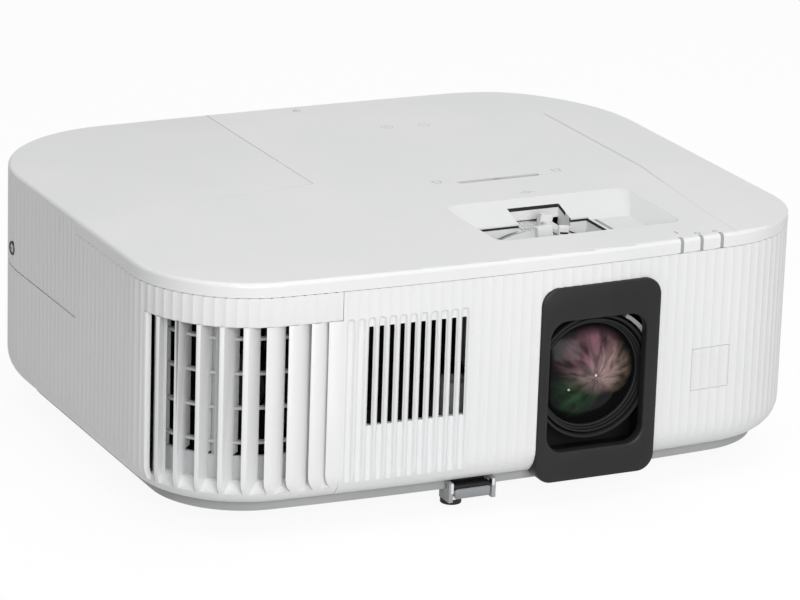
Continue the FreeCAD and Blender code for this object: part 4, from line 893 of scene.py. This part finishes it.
def top_marks():
    """Small printed symbols: a keystone pair by the slider, a lens sign by the recess, and three over the lights."""
    for name, x in (("keystone_mark_left", 0.019), ("keystone_mark_right", 0.0834)):
        half, lean = 0.0022, 0.0008
        corners = [(x - half, -0.0100), (x + half, -0.0100), (x + half - lean, -0.0138), (x - half + lean, -0.0138)]
        line_mark(name, list(zip(corners, corners[1:] + corners[:1])), 0.0003, printed)
    ring_mark("lens_sign", (0.0525, -0.0412), 0.0016, 0.0003, printed)
    line_mark("lens_sign_ticks", [((0.0500, -0.0412), (0.0486, -0.0412)), ((0.0550, -0.0412), (0.0564, -0.0412))],
              0.0003, printed)
    ring_mark("top_sign_left", (0.0389, 0.0864), 0.0030, 0.00035, printed_pale)
    line_mark("top_sign_left_bar", [((0.0374, 0.0864), (0.0404, 0.0864))], 0.0004, printed)
    ring_mark("top_sign_right", (0.0583, 0.0837), 0.0030, 0.0005, printed_pale)
    line_mark("top_sign_right_bar", [((0.0568, 0.0837), (0.0598, 0.0837))], 0.0004, printed_pale)
    ring_mark("top_sign_rear", (0.0085, 0.1290), 0.0020, 0.0004, printed, gap_turn=0.9)
    line_mark("top_sign_rear_bar", [((0.0085, 0.1290), (0.0085, 0.1318))], 0.0004, printed)
    # The right crease is a grey line laid on the top: painted shade where the top turns down towards the right side.
    crease = [(0.1265, 0.084), (0.1265, -0.018), (0.1178, -0.096), (0.1155, -0.1325)]
    line_mark("right_crease_painted_shade", list(zip(crease, crease[1:])), 0.0004, painted_crease_shade)
    line_mark("light_sign_power", [((0.0876, -0.1262), (0.0876, -0.1226))], 0.0007, printed)
    ring_mark("light_sign_lamp", (0.0965, -0.1285), 0.0015, 0.0004, printed)
    ring_mark("light_sign_heat", (0.1060, -0.1285), 0.0014, 0.0004, printed, gap_turn=1.2)


front_panel()
receiver_window()
side_panels()
filter_cover()
lamp_cover()
painted_screw_shadow()
exhaust_vanes()
exhaust_vane_backs()
exhaust_band()
lens_bezel()
lens_rings()
front_glass()
lens_tunnel()
lens_painted_reflection_arc()
lever_foot()
recess_gap_shadows()
zoom_arm()
light_guides()
for node, width in (
        ("focus_ring", 0.0005), ("zoom_ring", 0.0004), ("keystone_knob", 0.0003), ("front_foot_pad", 0.0005),
        ("rear_foot_left", 0.0006), ("rear_foot_right", 0.0006), ("button_power", 0.0004),
        ("button_source", 0.0004), ("button_menu", 0.0004), ("exhaust_inner_grille", 0.0003)):
    soften_node(node, width)
top_marks()


# ---- camera ----
view_azimuth = math.radians(-26.09)
view_elevation = math.radians(17.705)
view_roll = math.radians(1.886)
view_distance = 2.0343
focal_length, film_width = 190.56, 36.0
aim_offset = Vector((-0.00186, -0.01819, 0.00586))


def make_camera():
    camera = bpy.data.objects.new("camera", bpy.data.cameras.new("camera"))
    scene.collection.objects.link(camera)
    scene.camera = camera
    camera.data.lens = focal_length
    camera.data.sensor_width = film_width
    camera.data.clip_start = 0.1
    camera.data.clip_end = 50.0
    turn = Matrix.Rotation(view_azimuth, 4, "Z")
    tilt = Matrix.Rotation(math.pi / 2 - view_elevation, 4, "X")
    roll = Matrix.Rotation(view_roll, 4, "Z")
    away = Matrix.Translation((0, 0, view_distance))
    camera.matrix_world = Matrix.Translation(centre + aim_offset) @ turn @ tilt @ roll @ away


def area_light(name, place, size, power, target):
    """A flat lamp at a place, turned to face a target."""
    light = bpy.data.lights.new(name, "AREA")
    light.shape = "RECTANGLE"
    light.size, light.size_y = size
    light.energy = power
    lamp = bpy.data.objects.new(name, light)
    scene.collection.objects.link(lamp)
    place = Vector(place)
    aim = (Vector(target) - place).to_track_quat("-Z", "Y").to_matrix().to_4x4()
    lamp.matrix_world = Matrix.Translation(place) @ aim


def looked_at(tree):
    """1 for what the camera, a mirror or a clear part shows, 0 for light."""
    paths = tree.nodes.new("ShaderNodeLightPath")
    seen = Wire(tree, paths.outputs["Is Camera Ray"])
    for name in ("Is Glossy Ray", "Is Transmission Ray"):
        seen = seen.maths("MAXIMUM", seen, Wire(tree, paths.outputs[name]))
    return seen


def white_surroundings():
    """White all round for what is seen, and a lower level for the light that it gives."""
    world_light = 0.32
    world = bpy.data.worlds.new("studio")
    scene.world = world
    world.use_nodes = True
    tree = world.node_tree
    tree.nodes["Background"].inputs["Color"].default_value = (1, 1, 1, 1)
    level = looked_at(tree) * (1 - world_light) + world_light
    tree.links.new(level.socket, tree.nodes["Background"].inputs["Strength"])


def white_floor():
    """A floor that looks white but keeps a soft shadow."""
    glow_strength, glow_share = 1.07, 0.86
    bm = bmesh.new()
    bmesh.ops.create_grid(bm, x_segments=1, y_segments=1, size=6.0)
    mesh = bpy.data.meshes.new("floor")
    bm.to_mesh(mesh)
    bm.free()
    floor = bpy.data.objects.new("floor", mesh)
    scene.collection.objects.link(floor)
    finish, tree, shader = new_finish("floor")
    shader.inputs["Base Color"].default_value = (0.6, 0.6, 0.6, 1)
    shader.inputs["Roughness"].default_value = 0.8
    glow = make_node(tree, "ShaderNodeEmission", inputs={"Color": (1, 1, 1, 1), "Strength": glow_strength})
    mixed = make_node(tree, "ShaderNodeMixShader", inputs={
        0: looked_at(tree) * glow_share, 1: Wire(tree, shader.outputs["BSDF"]), 2: glow})
    tree.links.new(mixed.socket, tree.nodes["Material Output"].inputs["Surface"])
    mesh.materials.append(finish)


make_camera()
area_light("key", (-0.35, -1.8, 0.75), (1.2, 0.9), 22, centre)
area_light("top", (0.1, -0.2, 1.7), (1.4, 1.4), 11, centre)
white_surroundings()
white_floor()

scene.view_settings.view_transform = "Standard"
